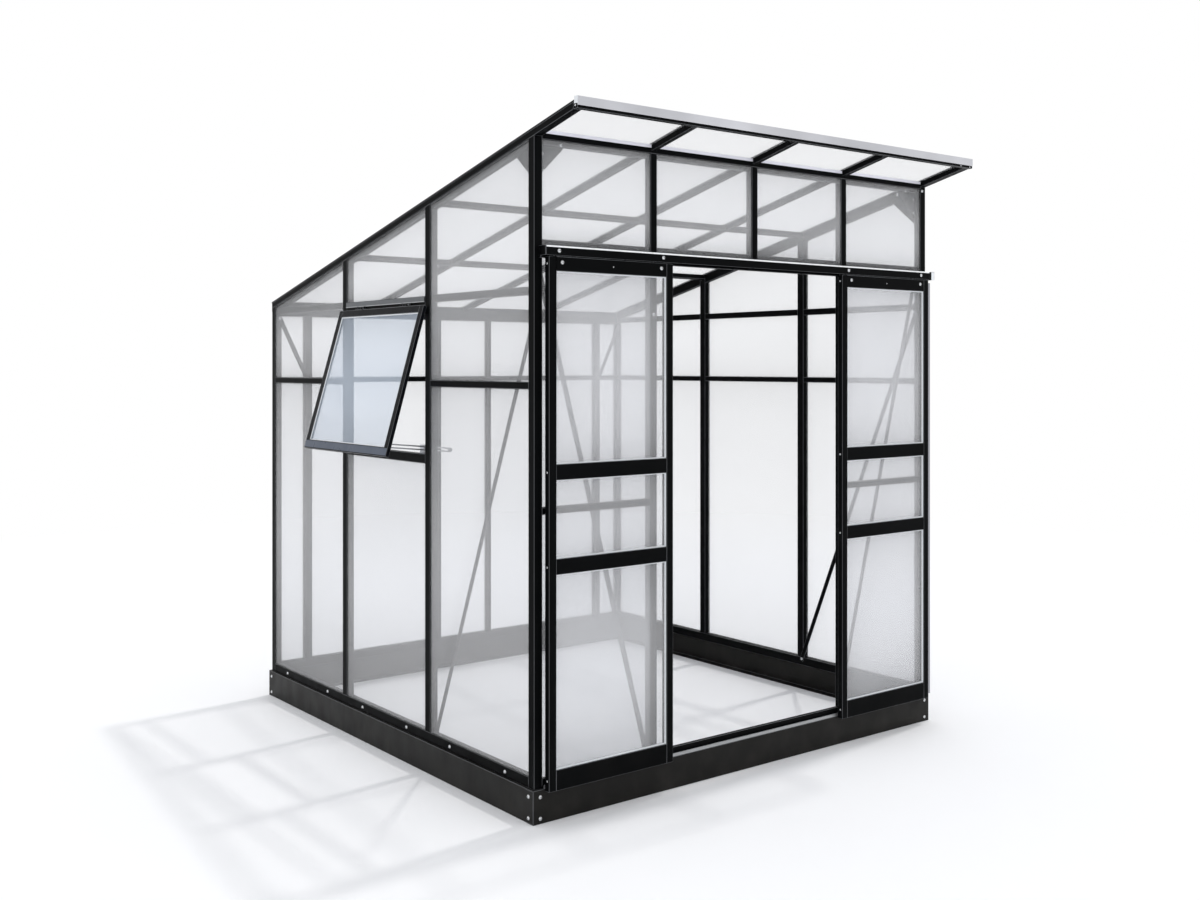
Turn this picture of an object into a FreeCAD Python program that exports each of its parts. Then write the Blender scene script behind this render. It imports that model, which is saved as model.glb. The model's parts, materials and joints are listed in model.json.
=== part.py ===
import FreeCAD, Part
import os
import re
import Sketcher

# Lean-to greenhouse with two sliding doors and a top-hung side window.
# Millimetres. The origin is the centre of the base on the ground, the doors
# face -Y, the window is in the -X wall and +Z is up.

doc = FreeCAD.newDocument("lean_to_greenhouse")

# Driving dimensions

SIZES = {
    # Base frame that stands on the ground
    "base_width": 1900,
    "base_depth": 1967,
    "base_height": 105,
    "base_flange": 40,
    "base_sheet": 2,
    "base_angle_leg": 50,
    "base_angle_height": 80,
    "anchor_inset": 60,
    "anchor_hole_radius": 4.5,
    # Wall frame: rectangular tube set back a little from the base
    "wall_inset": 9,
    "section": 30,
    "tube_wall": 1.5,
    "sill_height": 33,
    "stud_face": 34,
    "mullion_face": 26,
    "glazing_bar_face": 18,
    "side_bay": 627,
    "rear_end_bay": 140,
    "rear_centre_bay": 274,
    # Cross rails: height of the lower edge above the ground, or drop below the roof, and face
    "mid_rail_level": 1329,
    "mid_rail_face": 21,
    "tie_drop": 51,
    "tie_face": 26,
    "tie_setback": 10,
    "window_sill_level": 1063,
    "window_sill_face": 31,
    "window_head_level": 1611,
    "window_head_face": 29,
    "front_rail_level": 944,
    "front_rail_face": 20,
    "header_level": 1740,
    "header_cap_face": 28,
    "header_face": 50,
    "beam_cap": 10,
    "eave_beam_drop": 53,
    "eave_beam_lip": 16,
    "eave_bore": 30,
    "rear_beam_drop": 58,
    "rear_bore": 30,
    # Roof: one slope from the tall front to the low back
    "roof_front_height": 2134,
    "roof_rear_height": 1670,
    "front_overhang": 212,
    "rafter_depth": 20,
    "rafter_face": 30,
    "inner_rafter_face": 20,
    "rafter_lip": 18,
    "purlin_face": 24,
    "roof_cap": 2,
    "roof_joint": 3,
    "rear_trim": 3,
    "fascia_reach": 20,
    "fascia_sheet": 2,
    "fascia_return": 14,
    "fascia_cap_face": 27,
    "fascia_cap_flange": 14,
    "fascia_cap_lift": 3,
    "drip_edge_face": 34,
    # Twin-wall sheets, held in slots of the frame
    "sheet": 4,
    "sheet_setback": 3,
    "sheet_bite": 6,
    "sheet_play": 0.3,
    # Flat braces and corner gussets on the inner faces
    "brace_face": 20,
    "brace_sheet": 2,
    "brace_lap": 30,
    "side_brace_top": 1588,
    "side_brace_low": 150,
    "front_brace_top": 1732,
    "front_brace_low": 146,
    "rear_brace_low": 1356,
    "rear_brace_drop": 28,
    "gusset_leg": 140,
    "gusset_sheet": 2,
    "gusset_lap": 20,
    "gusset_drop": 27,
    "gusset_wing_leg": 125,
    "gusset_wing_height": 136,
    "gusset_wing_lap": 14,
    # Sliding doors
    "leaf_width": 500,
    "leaf_bottom": 99,
    "leaf_top": 1735,
    "leaf_depth": 22,
    "leaf_gap": 2,
    "stile_face": 27,
    "leaf_top_face": 44,
    "leaf_mid_face": 48,
    "leaf_bottom_face": 63,
    "upper_rail_level": 1050,
    "lower_rail_level": 760,
    "leaf_sheet_setback": 9,
    "left_open_gap": 42,
    "right_open_gap": 32,
    # Hood track above the doors and the rollers that run in it
    "track_end_gap": 27,
    "track_reach": 35,
    "track_lip": 30,
    "track_sheet": 1.5,
    "track_ledge": 10,
    "track_rib": 2,
    "track_cap": 3,
    "roller_inset": 50,
    "roller_level": 1746,
    "roller_radius": 13,
    "roller_groove_radius": 11.5,
    "roller_groove_face": 3,
    "roller_face": 7,
    "roller_float": 0.5,
    "roller_play": 0.3,
    "roller_recess": 2,
    "spacer_radius": 5,
    "spacer_length": 1.2,
    "axle_radius": 3,
    "axle_head": 3,
    "axle_play": 0.05,
    "axle_hole_play": 0.2,
    # Hangers that stand up from the doors' top rails into the hood and carry the axles
    "hanger_face": 30,
    "hanger_sheet": 2,
    "hanger_rise": 22,
    "hanger_bolt_drop": 17,
    # Nylon guides under the doors and the threshold they run in
    "guide_inset": 60,
    "guide_length": 40,
    "guide_reach": 9,
    "guide_tongue": 4,
    "guide_height": 8,
    "guide_clearance": 2,
    "threshold_lip": 11,
    "threshold_lip_sheet": 1.5,
    "threshold_sheet": 2,
    "ridge_height": 29,
    "ridge_face": 15,
    # Top-hung window, drawn standing open
    "sash_width": 635,
    "sash_height": 536,
    "sash_depth": 14,
    "sash_gap": 2,
    "sash_face": 25,
    "sash_foot_face": 32,
    "sash_sheet_setback": 5,
    "sash_open": 16,
    "hinge_rise": 4,
    "hinge_drop": 8,
    "hinge_inset": 120,
    "knuckle_radius": 5,
    "knuckle_length": 18,
    "knuckle_gap": 0.5,
    "hinge_pin_radius": 2.5,
    "hinge_play": 0.05,
    "hinge_plate": 2,
    "hinge_plate_height": 20,
    "hinge_foot": 12,
    # Slotted stay that holds the window open
    "stay_radius": 503,
    "stay_angle": 1.7,
    "stay_lead": 1.5,
    "stay_travel": 26,
    "stay_face": 16,
    "stay_sheet": 3,
    "stay_slot": 6.6,
    "stay_end": 12,
    "stay_offset": 25,
    "stay_side_gap": 0.3,
    "peg_radius": 3,
    "peg_head_radius": 5,
    "peg_head": 2,
    "peg_block": 14,
    "peg_block_depth": 28,
    "peg_block_top": 12,
    "stay_pin_play": 0.05,
    "stay_ear": 3,
    "stay_ear_rise": 2,
    "stay_ear_foot": 16,
    # Fasteners
    "bolt_head_radius": 6,
    "bolt_head": 4,
    "screw_head_radius": 3.5,
    "screw_head": 1,
    "base_bolt_inset": 26,
    "base_bolt_low": 17,
    "base_bolt_high": 83,
    "sill_bolt_inset": 130,
    "jamb_bolt_level": 1568,
    "gusset_bolt_drop": 40,
    "gusset_bolt_pitch": 53,
    "gusset_bolt_inset": 43,
    "track_bolt_inset": 52,
    "track_bolt_pitch": 420,
}

# Lengths that follow from the driving dimensions, written once as formulas

FORMULAS = {
    "left_edge": "(-base_width/2)",
    "right_edge": "(base_width/2)",
    "front_edge": "(-base_depth/2)",
    "rear_edge": "(base_depth/2)",
    "wall_left": "(left_edge + wall_inset)",
    "wall_right": "(right_edge - wall_inset)",
    "wall_front": "(front_edge + wall_inset)",
    "wall_rear": "(rear_edge - wall_inset)",
    "inner_left": "(wall_left + section)",
    "inner_right": "(wall_right - section)",
    "inner_front": "(wall_front + section)",
    "inner_rear": "(wall_rear - section)",
    "inner_width": "(inner_right - inner_left)",
    "inner_depth": "(inner_rear - inner_front)",
    "sill_top": "(base_height + sill_height)",
    "stud_front": "(wall_front + section/2 + side_bay)",
    "stud_rear": "(wall_front + section/2 + 2*side_bay)",
    "front_bay": "((base_width - 2*wall_inset - section)/4)",
    "rear_stud": "(base_width/2 - wall_inset - section/2 - rear_end_bay)",
    "mid_rail_top": "(mid_rail_level + mid_rail_face)",
    "front_rail_top": "(front_rail_level + front_rail_face)",
    "window_sill_top": "(window_sill_level + window_sill_face)",
    "window_head_top": "(window_head_level + window_head_face)",
    "header_cap_top": "(header_level + header_cap_face)",
    "eave_beam_level": "(roof_front_height - eave_beam_drop)",
    "eave_cap_level": "(eave_beam_level + eave_beam_lip)",
    "rear_beam_level": "(roof_rear_height - rear_beam_drop)",
    "rear_brace_top": "(rear_beam_level - rear_brace_drop)",
    "tie_level": "(roof_rear_height - tie_drop)",
    "ridge_top": "(base_height + ridge_height)",
    "roof_fall": "((roof_front_height - roof_rear_height)/base_depth)",
    "roof_slope": "atan(roof_fall)",
    "roof_stack": "(rafter_depth + sheet + roof_cap)",
    "roof_front": "(front_edge - front_overhang)",
    "roof_tall": "(roof_front_height + front_overhang*roof_fall)",
    "rafter_front": "(roof_front + fascia_reach)",
    "fascia_level": "(roof_tall - fascia_reach*roof_fall - roof_stack/cos(roof_slope))",
    "fascia_face": "((fascia_reach - fascia_sheet)*roof_fall + rafter_depth/cos(roof_slope) - sheet_play)",
    "drip_top": "(roof_rear_height - (sheet + roof_cap)/cos(roof_slope))",
    "gusset_top": "(roof_front_height - (wall_inset + section + gusset_sheet)*roof_fall - gusset_drop)",
    "corner_roof": "(roof_front_height - (wall_inset + section)*roof_fall - roof_stack/cos(roof_slope))",
    "wing_rise": "(gusset_wing_height - gusset_wing_leg*roof_fall)",
    "lip_face": "(rafter_face - sheet_setback - sheet - sheet_play)",
    "nose": "(sheet_setback + sheet + sheet_play + tube_wall)",
    "leaf_nose": "(leaf_sheet_setback + sheet + sheet_play + tube_wall)",
    "track_front": "(wall_front - track_reach)",
    "track_base": "(roller_level - roller_radius - roller_float - track_sheet)",
    "track_rise": "(header_cap_top - track_base)",
    "rib_start": "(rib_middle - track_rib/2)",
    "rib_end": "(rib_middle + track_rib/2)",
    "rib_rise": "(track_sheet + roller_float + roller_radius - roller_groove_radius - roller_play)",
    "rib_middle": "(roller_middle - track_front)",
    "roller_back": "(leaf_back + spacer_length + roller_play)",
    "roller_middle": "(roller_back + roller_face/2)",
    "leaf_back": "(front_edge - leaf_gap)",
    "leaf_front": "(leaf_back - leaf_depth)",
    "hanger_front": "(leaf_back - hanger_sheet)",
    "leaf_height": "(leaf_top - leaf_bottom)",
    "left_leaf": "(left_edge + left_open_gap)",
    "right_leaf": "(right_edge - right_open_gap - leaf_width)",
    "guide_low": "(base_height + threshold_sheet + guide_clearance)",
    "guide_seat": "(base_height + threshold_lip + guide_clearance)",
    "sash_back": "(wall_left - sash_gap)",
    "sash_front": "((stud_front + stud_rear - sash_width)/2)",
    "hinge_x": "(sash_back - sash_depth/2)",
    "hinge_z": "(window_head_level + hinge_rise)",
    "stay_line": "(stud_front + stud_face/2 + stay_offset)",
    "stay_reach": "(2*stay_radius*sin((stay_travel + stay_lead)/2))",
    "stay_near": "(2*stay_radius*sin(stay_lead/2))",
}


def cells(formula):
    """Turn a formula of plain words into one that reads the sheet's cells."""
    text = str(formula)
    while any(word in FORMULAS for word in re.findall(r"[a-z_]+", text)):
        text = re.sub(r"[a-z_]+", lambda m: FORMULAS.get(m.group(), m.group()), text)
    return re.sub(r"[a-z_]+", lambda m: "Dims." + m.group() if m.group() in SIZES else m.group(), text)


sheet = doc.addObject("Spreadsheet::Sheet", "Dims")
for row, (alias, value) in enumerate(SIZES.items(), start=1):
    sheet.set("A%d" % row, alias)
    sheet.set("B%d" % row, str(value))
    sheet.setAlias("B%d" % row, alias)
doc.recompute()

NODES = []


def node(label, thing):
    """Name a finished sub-part and put it on the list of those written out."""
    thing.Label = label
    NODES.append(thing)
    return thing


def place(thing, corner):
    for axis, formula in zip("xyz", corner):
        thing.setExpression("Placement.Base." + axis, cells(formula))


def box(name, corner, size):
    """A box from its lowest corner and its three sizes, all of them formulas."""
    thing = doc.addObject("Part::Box", name)
    for side, formula in zip(("Length", "Width", "Height"), size):
        thing.setExpression(side, cells(formula))
    place(thing, corner)
    return thing


def cut(name, base, tool):
    thing = doc.addObject("Part::Cut", name)
    thing.Base = base
    thing.Tool = tool
    return thing


def common(name, base, tool):
    thing = doc.addObject("Part::Common", name)
    thing.Base = base
    thing.Tool = tool
    return thing


def fuse(name, pieces):
    thing = doc.addObject("Part::MultiFuse", name)
    thing.Shapes = pieces
    return thing


def group(name, pieces):
    """Separate solids that share one node."""
    thing = doc.addObject("Part::Compound", name)
    thing.Links = pieces
    return thing


def turned(thing, axis, angle):
    """Turn a piece about its own placement point."""
    thing.Placement = FreeCAD.Placement(FreeCAD.Vector(), FreeCAD.Rotation(FreeCAD.Vector(*axis), 1))
    thing.setExpression("Placement.Rotation.Angle", cells(angle))
    return thing


def tube(name, corner, size, along, nose="", nose_depth="nose"):
    """Rectangular tube, open at both ends. A nose is the solid side that holds the sheets."""
    outer = box(name + "_outer", corner, size)
    bore_corner = []
    bore_size = []
    for axis, start, length in zip("xyz", corner, size):
        low = nose_depth if nose == "-" + axis else "tube_wall"
        high = nose_depth if nose == "+" + axis else "tube_wall"
        bore_corner.append(start if axis == along else "%s + %s" % (start, low))
        bore_size.append(length if axis == along else "%s - %s - %s" % (length, low, high))
    return cut(name, outer, box(name + "_bore", bore_corner, bore_size))


def rod(name, start, axis, radius, length):
    """Round bar from a start point along x, y or z."""
    thing = doc.addObject("Part::Cylinder", name)
    thing.setExpression("Radius", cells(radius))
    thing.setExpression("Height", cells(length))
    if axis == "x":
        thing.Placement = FreeCAD.Placement(FreeCAD.Vector(), FreeCAD.Rotation(FreeCAD.Vector(0, 1, 0), 90))
    elif axis == "y":
        thing.Placement = FreeCAD.Placement(FreeCAD.Vector(), FreeCAD.Rotation(FreeCAD.Vector(1, 0, 0), -90))
    place(thing, start)
    return thing


def profile(name, along, outline, length, corner):
    """Extruded profile. Each outline point is a pair of formulas, counted from the corner."""
    body = doc.addObject("PartDesign::Body", name)
    sketch = body.newObject("Sketcher::SketchObject", name + "_outline")
    role = {"x": "YZ_Plane", "y": "XZ_Plane", "z": "XY_Plane"}[along]
    sketch.AttachmentSupport = [([f for f in body.Origin.OriginFeatures if f.Role == role][0], "")]
    sketch.MapMode = "FlatFace"
    draw(sketch, outline)
    pad = body.newObject("PartDesign::Pad", name + "_pad")
    pad.Profile = sketch
    pad.setExpression("Length", cells(length))
    pad.Reversed = along == "y"
    place(body, corner)
    return body


def draw(sketch, outline):
    """Closed outline of straight lines, every point held by its two distances."""
    count = len(outline)
    turn = FreeCAD.Rotation(FreeCAD.Vector(0, 0, 1), 360.0 / count)
    ring = [FreeCAD.Vector(50, 0, 0)]
    for i in range(count - 1):
        ring.append(turn.multVec(ring[-1]))
    for i in range(count):
        sketch.addGeometry(Part.LineSegment(ring[i], ring[(i + 1) % count]))
    for i in range(count):
        sketch.addConstraint(Sketcher.Constraint("Coincident", i, 2, (i + 1) % count, 1))
    for i, point in enumerate(outline):
        for kind, axis, formula in (("DistanceX", -2, point[0]), ("DistanceY", -1, point[1])):
            if formula == "0":
                sketch.addConstraint(Sketcher.Constraint("PointOnObject", i, 1, axis))
            else:
                datum = sketch.addConstraint(Sketcher.Constraint(kind, -1, 1, i, 1, 10.0 + i))
                sketch.setExpression("Constraints[%d]" % datum, cells(formula))


def sloped(name, start, along, up, width, length, height):
    """Box that lies along the roof. It is placed from the roof's top at the front of the base."""
    thing = box(name, (start, "0", "0"), (width, length, height))
    turned(thing, (-1, 0, 0), "roof_slope")
    place(thing, (start,
                  "front_edge + (%s)*cos(roof_slope) + (%s)*sin(roof_slope)" % (along, up),
                  "roof_front_height - (%s)*sin(roof_slope) + (%s)*cos(roof_slope)" % (along, up)))
    return thing


def slot_for(name, corner, size, thin):
    """Slot that holds a sheet: the sheet grown by its play, and by its bite at the edges."""
    corner = ["%s - sheet_play" % c if i == thin else "%s - sheet_bite" % c for i, c in enumerate(corner)]
    size = ["%s + 2*sheet_play" % s if i == thin else "%s + 2*sheet_bite" % s for i, s in enumerate(size)]
    return box(name + "_slot", corner, size)


def sheet_for(name, corner, size, thin):
    """Sheet for an opening. It reaches into the slots, short of their ends by the play."""
    bite = "sheet_bite - sheet_play"
    corner = [c if i == thin else "%s - (%s)" % (c, bite) for i, c in enumerate(corner)]
    size = [s if i == thin else "%s + 2*(%s)" % (s, bite) for i, s in enumerate(size)]
    return box(name, corner, size)


def slotted(pieces, slots):
    """Cut the slots of one wall into each of its pieces."""
    return [cut(piece.Name + "_slotted", piece, slots) for piece in pieces]


# Cutting tools that follow the roof

roof_length = "base_depth*2"
above_rafters = sloped("above_rafters", "left_edge - section", "-base_depth/4", "-roof_stack",
                       "base_width + 2*section", roof_length, "base_height*9")
above_lips = sloped("above_lips", "left_edge - section", "-base_depth/4", "-roof_stack - rafter_lip",
                    "base_width + 2*section", roof_length, "base_height*9")
above_sheets = sloped("above_sheets", "left_edge - section", "-base_depth/4", "-(sheet + roof_cap)",
                      "base_width + 2*section", roof_length, "base_height*9")
wall_reach = "roof_front_height - base_height"

# Base frame

web_top = "base_height - base_sheet"
channel_ahead = [("0", "0"), ("base_flange", "0"), ("base_flange", "base_sheet"),
                 ("base_sheet", "base_sheet"), ("base_sheet", web_top), ("base_flange", web_top),
                 ("base_flange", "base_height"), ("0", "base_height")]
channel_behind = [("0", "0"), ("base_flange", "0"), ("base_flange", "base_height"), ("0", "base_height"),
                  ("0", web_top), ("base_flange - base_sheet", web_top),
                  ("base_flange - base_sheet", "base_sheet"), ("0", "base_sheet")]
long_rails = []
for side, outline, edge in (("front", channel_ahead, "front_edge"),
                            ("rear", channel_behind, "rear_edge - base_flange")):
    rail = profile("base_%s" % side, "x", outline, "base_width", ("left_edge", edge, "0"))
    holes = [rod("anchor_%s_%s" % (side, end), (where, edge + " + base_flange/2", "-base_sheet"), "z",
                 "anchor_hole_radius", "3*base_sheet")
             for end, where in (("left", "left_edge + anchor_inset"), ("right", "right_edge - anchor_inset"))]
    drilled = cut("base_%s_drilled" % side, rail, group(side + "_anchors", holes))
    long_rails.append(node("base_rail_" + side, drilled))
both_long = group("long_rails", long_rails)
for side, outline, edge in (("left", channel_ahead, "left_edge"),
                            ("right", channel_behind, "right_edge - base_flange")):
    rail = profile("base_%s" % side, "y", outline, "base_depth - 2*base_sheet",
                   (edge, "front_edge + base_sheet", "0"))
    node("base_rail_" + side, cut("base_%s_fitted" % side, rail, both_long))

angles = []
bolts = []
for side in ("left", "right"):
    for end in ("front", "rear"):
        corner_x = {"left": "left_edge + base_sheet", "right": "right_edge - base_sheet"}[side]
        corner_y = {"front": "front_edge + base_sheet", "rear": "rear_edge - base_sheet"}[end]
        low = "(base_height - base_angle_height)/2"
        leg_x = corner_x if side == "left" else corner_x + " - base_angle_leg"
        leg_y = corner_y if end == "front" else corner_y + " - base_angle_leg"
        thin_x = corner_x if side == "left" else corner_x + " - base_sheet"
        thin_y = corner_y if end == "front" else corner_y + " - base_sheet"
        tag = "%s_%s" % (end, side)
        legs = [box("angle_x_" + tag, (leg_x, thin_y, low),
                    ("base_angle_leg", "base_sheet", "base_angle_height")),
                box("angle_y_" + tag, (thin_x, leg_y, low),
                    ("base_sheet", "base_angle_leg", "base_angle_height"))]
        angles.append(fuse("angle_" + tag, legs))
        bolt_x = {"left": "left_edge + base_bolt_inset", "right": "right_edge - base_bolt_inset"}[side]
        bolt_y = {"front": "front_edge + base_bolt_inset", "rear": "rear_edge - base_bolt_inset"}[end]
        face_x = {"left": "left_edge - bolt_head", "right": "right_edge"}[side]
        face_y = {"front": "front_edge - bolt_head", "rear": "rear_edge"}[end]
        for level in ("base_bolt_low", "base_bolt_high"):
            name = "%s_%s" % (level, tag)
            bolts.append(rod(name + "_y", (bolt_x, face_y, level), "y", "bolt_head_radius", "bolt_head"))
            bolts.append(rod(name + "_x", (face_x, bolt_y, level), "x", "bolt_head_radius", "bolt_head"))
node("base_corner_angles", group("angles", angles))
node("base_corner_bolts", group("corner_bolts", bolts))

# Openings of each wall that a sheet fills: name, start and width along the wall, level and height

half_stud = "stud_face/2"
side_bays = {
    "front": ("inner_front", "stud_front - %s - inner_front" % half_stud),
    "middle": ("stud_front + %s" % half_stud, "stud_rear - stud_front - stud_face"),
    "rear": ("stud_rear + %s" % half_stud, "inner_rear - stud_rear - %s" % half_stud),
}
lower_field = ("sill_top", "mid_rail_level - sill_top")
upper_field = ("mid_rail_top", "roof_front_height - mid_rail_top")
window_fields = [("sill_top", "window_sill_level - sill_top"),
                 ("window_head_top", "roof_front_height - window_head_top")]


def side_sheets(side, start):
    """Sheets and slots of one side wall. The upper sheets are cut to the roof's slope."""
    sheets = []
    slots = []
    for bay, (low, width) in side_bays.items():
        fields = window_fields if side == "left" and bay == "middle" else [lower_field, upper_field]
        for part, (level, height) in zip(("lower", "upper"), fields):
            name = "%s_%s_%s" % (side, bay, part)
            place_at = (start, low, level)
            size = ("sheet", width, height)
            slots.append(slot_for(name, place_at, size, 0))
            sheets.append(sheet_for(name + "_sheet", place_at, size, 0))
    topped = [cut(piece.Name + "_cut", piece, sheet_top) for piece in sheets]
    return topped, group(side + "_slots", slots)


sheet_top = sloped("sheet_top", "left_edge - section", "-base_depth/4", "-roof_stack - sheet_play",
                   "base_width + 2*section", roof_length, "base_height*9")
left_sheets, left_slots = side_sheets("left", "wall_left + sheet_setback")
right_sheets, right_slots = side_sheets("right", "wall_right - sheet_setback - sheet")

rear_bar = "rear_centre_bay/2"
rear_marks = [("-rear_stud", "section"), ("-" + rear_bar, "glazing_bar_face"),
              (rear_bar, "glazing_bar_face"), ("rear_stud", "section")]
rear_starts = ["inner_left"] + ["%s + %s/2" % mark for mark in rear_marks]
rear_ends = ["%s - %s/2" % mark for mark in rear_marks] + ["inner_right"]
rear_bays = [(a, "%s - (%s)" % (b, a)) for a, b in zip(rear_starts, rear_ends)]

rear_sheets = []
rear_slot_list = []
for i, (start, width) in enumerate(rear_bays):
    for part, level, height in (("lower", "sill_top", "mid_rail_level - sill_top"),
                                ("upper", "mid_rail_top", "rear_beam_level - mid_rail_top")):
        name = "rear_%s_%d" % (part, i)
        spot = (start, "wall_rear - sheet_setback - sheet", level)
        rear_slot_list.append(slot_for(name, spot, (width, "sheet", height), 1))
        rear_sheets.append(sheet_for(name + "_sheet", spot, (width, "sheet", height), 1))
rear_slots = group("rear_slots", rear_slot_list)

half_mullion = "mullion_face/2"
mullions = ["-front_bay", "0", "front_bay"]
front_starts = ["inner_left"] + ["%s + %s" % (m, half_mullion) for m in mullions]
front_ends = ["%s - %s" % (m, half_mullion) for m in mullions] + ["inner_right"]
front_bays = [(a, "%s - (%s)" % (b, a)) for a, b in zip(front_starts, front_ends)]

front_sheets = []
front_slot_list = []
for i, (start, width) in enumerate(front_bays):
    fields = [("transom", "header_cap_top", "eave_cap_level - header_cap_top")]
    if i in (0, 3):
        fields.append(("lower", "ridge_top", "front_rail_level - ridge_top"))
        fields.append(("upper", "front_rail_top", "header_level - front_rail_top"))
    for part, level, height in fields:
        name = "front_%s_%d" % (part, i)
        spot = (start, "wall_front + sheet_setback", level)
        front_slot_list.append(slot_for(name, spot, (width, "sheet", height), 1))
        front_sheets.append(sheet_for(name + "_sheet", spot, (width, "sheet", height), 1))
front_slots = group("front_slots", front_slot_list)
all_slots = group("wall_slots", [left_slots, right_slots, rear_slots, front_slots])

node("side_wall_sheets", group("side_sheets_all", left_sheets + right_sheets))
node("rear_wall_sheets", group("rear_sheets_all", rear_sheets))
node("front_wall_sheets", group("front_sheets_all", front_sheets))

# Sills and threshold

side_sill = ("section", "inner_depth", "sill_height")
rear_sill = ("inner_width", "section", "sill_height")
sills = [tube("sill_left", ("wall_left", "inner_front", "base_height"), side_sill, "y"),
         tube("sill_right", ("inner_right", "inner_front", "base_height"), side_sill, "y"),
         tube("sill_rear", ("inner_left", "inner_rear", "base_height"), rear_sill, "x")]
node("wall_sills", group("sills", slotted(sills, all_slots)))

ridge_end = "wall_inset + ridge_face"
threshold_outline = [("0", "0"), ("wall_inset + section", "0"), ("wall_inset + section", "threshold_sheet"),
                     (ridge_end, "threshold_sheet"), (ridge_end, "ridge_height"),
                     ("wall_inset", "ridge_height"), ("wall_inset", "threshold_sheet"),
                     ("threshold_lip_sheet", "threshold_sheet"),
                     ("threshold_lip_sheet", "threshold_lip"), ("0", "threshold_lip")]
threshold = profile("threshold", "x", threshold_outline, "inner_width",
                    ("inner_left", "front_edge", "base_height"))
node("door_threshold", cut("threshold_slotted", threshold, front_slots))

# Corner posts, studs, jambs and mullions

for end in ("front", "rear"):
    for side in ("left", "right"):
        spot = ({"left": "wall_left", "right": "inner_right"}[side],
                {"front": "wall_front", "rear": "inner_rear"}[end], "base_height")
        post = tube("post_%s_%s_tube" % (end, side), spot, ("section", "section", wall_reach), "z")
        topped = cut(post.Name + "_top", post, above_rafters)
        node("post_%s_%s" % (end, side), cut(post.Name + "_slotted", topped, all_slots))

side_studs = []
for side, start, nose in (("left", "wall_left", "-x"), ("right", "inner_right", "+x")):
    for name in ("stud_front", "stud_rear"):
        stud = tube("%s_%s" % (name, side), (start, "%s - %s" % (name, half_stud), "sill_top"),
                    ("section", "stud_face", wall_reach), "z", nose)
        side_studs.append(cut(stud.Name + "_top", stud, above_rafters))
node("side_studs", group("studs", slotted(side_studs, all_slots)))

rear_posts = [tube("rear_upright_%d" % i, ("%s - %s/2" % mark, "inner_rear", "sill_top"),
                   (mark[1], "section", "rear_beam_level - sill_top"), "z", "+y")
              for i, mark in enumerate(rear_marks)]
node("rear_studs", group("rear_uprights", slotted(rear_posts, rear_slots)))

jambs = []
for side, middle in (("left", "-front_bay"), ("right", "front_bay")):
    jamb = tube("jamb_" + side, ("%s - %s" % (middle, half_mullion), "wall_front", "base_height"),
                ("mullion_face", "section", "header_level - base_height"), "z", "-y")
    jambs.append(cut(jamb.Name + "_foot", jamb, threshold))
node("door_jambs", group("jambs", slotted(jambs, front_slots)))

mullion_tubes = [tube("mullion_%d" % i, ("%s - %s" % (middle, half_mullion), "wall_front", "header_level"),
                      ("mullion_face", "section", "eave_beam_level + eave_bore - header_level"), "z", "-y")
                 for i, middle in enumerate(mullions)]

# Header above the doorway and the eave beam, each with a deeper inner part


def beam(name, level, cap_level, top, bore_height):
    """Front beam with a cap in front of the sheets. Gives the solid shape and the hollow one."""
    inner = box(name + "_inner", ("inner_left", "wall_front + beam_cap", level),
                ("inner_width", "section - beam_cap", "%s - (%s)" % (top, level)))
    cap_top = top if name == "eave" else "header_cap_top"
    cap = box(name + "_cap", ("inner_left", "wall_front", cap_level),
              ("inner_width", "beam_cap", "%s - (%s)" % (cap_top, cap_level)))
    whole = fuse(name + "_whole", [inner, cap])
    bore = box(name + "_bore", ("inner_left", "wall_front + beam_cap + tube_wall", level + " + tube_wall"),
               ("inner_width", "section - beam_cap - 2*tube_wall", bore_height))
    return whole, cut(name + "_hollow", whole, bore)


header_whole, header = beam("header", "header_level", "header_level", "header_level + header_face",
                            "header_face - 2*tube_wall")
eave_whole, eave = beam("eave", "eave_beam_level", "eave_cap_level", "roof_front_height", "eave_bore")
node("door_header", cut("header_slotted", header, front_slots))
node("eave_beam", cut("eave_slotted", cut("eave_topped", eave, above_sheets), front_slots))
both_beams = group("both_beams", [header_whole, eave_whole])
fitted = [cut(piece.Name + "_ends", piece, both_beams) for piece in mullion_tubes]
node("transom_mullions", group("mullions", slotted(fitted, front_slots)))

rear_outer = box("rear_beam_outer", ("inner_left", "inner_rear", "rear_beam_level"),
                 ("inner_width", "section", "roof_front_height - rear_beam_level"))
rear_bore_box = box("rear_beam_bore", ("inner_left", "inner_rear + tube_wall", "rear_beam_level + tube_wall"),
                    ("inner_width", "section - 2*tube_wall", "rear_bore"))
rear_beam = cut("rear_beam_topped", cut("rear_beam_hollow", rear_outer, rear_bore_box), above_sheets)
node("rear_beam", cut("rear_beam_slotted", rear_beam, rear_slots))

# Cross rails

mids = []
for side, start, nose in (("left", "wall_left", "-x"), ("right", "inner_right", "+x")):
    for bay, (low, width) in side_bays.items():
        if side == "right" or bay != "middle":
            mids.append(tube("mid_%s_%s" % (side, bay), (start, low, "mid_rail_level"),
                             ("section", width, "mid_rail_face"), "y", nose))
for i, (start, width) in enumerate(rear_bays):
    mids.append(tube("rear_mid_%d" % i, (start, "inner_rear", "mid_rail_level"),
                     (width, "section", "mid_rail_face"), "x", "+y"))
node("wall_mid_rails", group("mids", slotted(mids, all_slots)))

ties = []
for side, start in (("left", "wall_left + tie_setback"), ("right", "inner_right")):
    for bay, (low, width) in side_bays.items():
        if side == "right" or bay != "middle":
            tie = tube("tie_%s_%s" % (side, bay), (start, low, "tie_level"),
                       ("section - tie_setback", width, "tie_face"), "y")
            ties.append(cut(tie.Name + "_top", tie, above_lips))
node("side_tie_rails", group("ties", ties))

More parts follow.
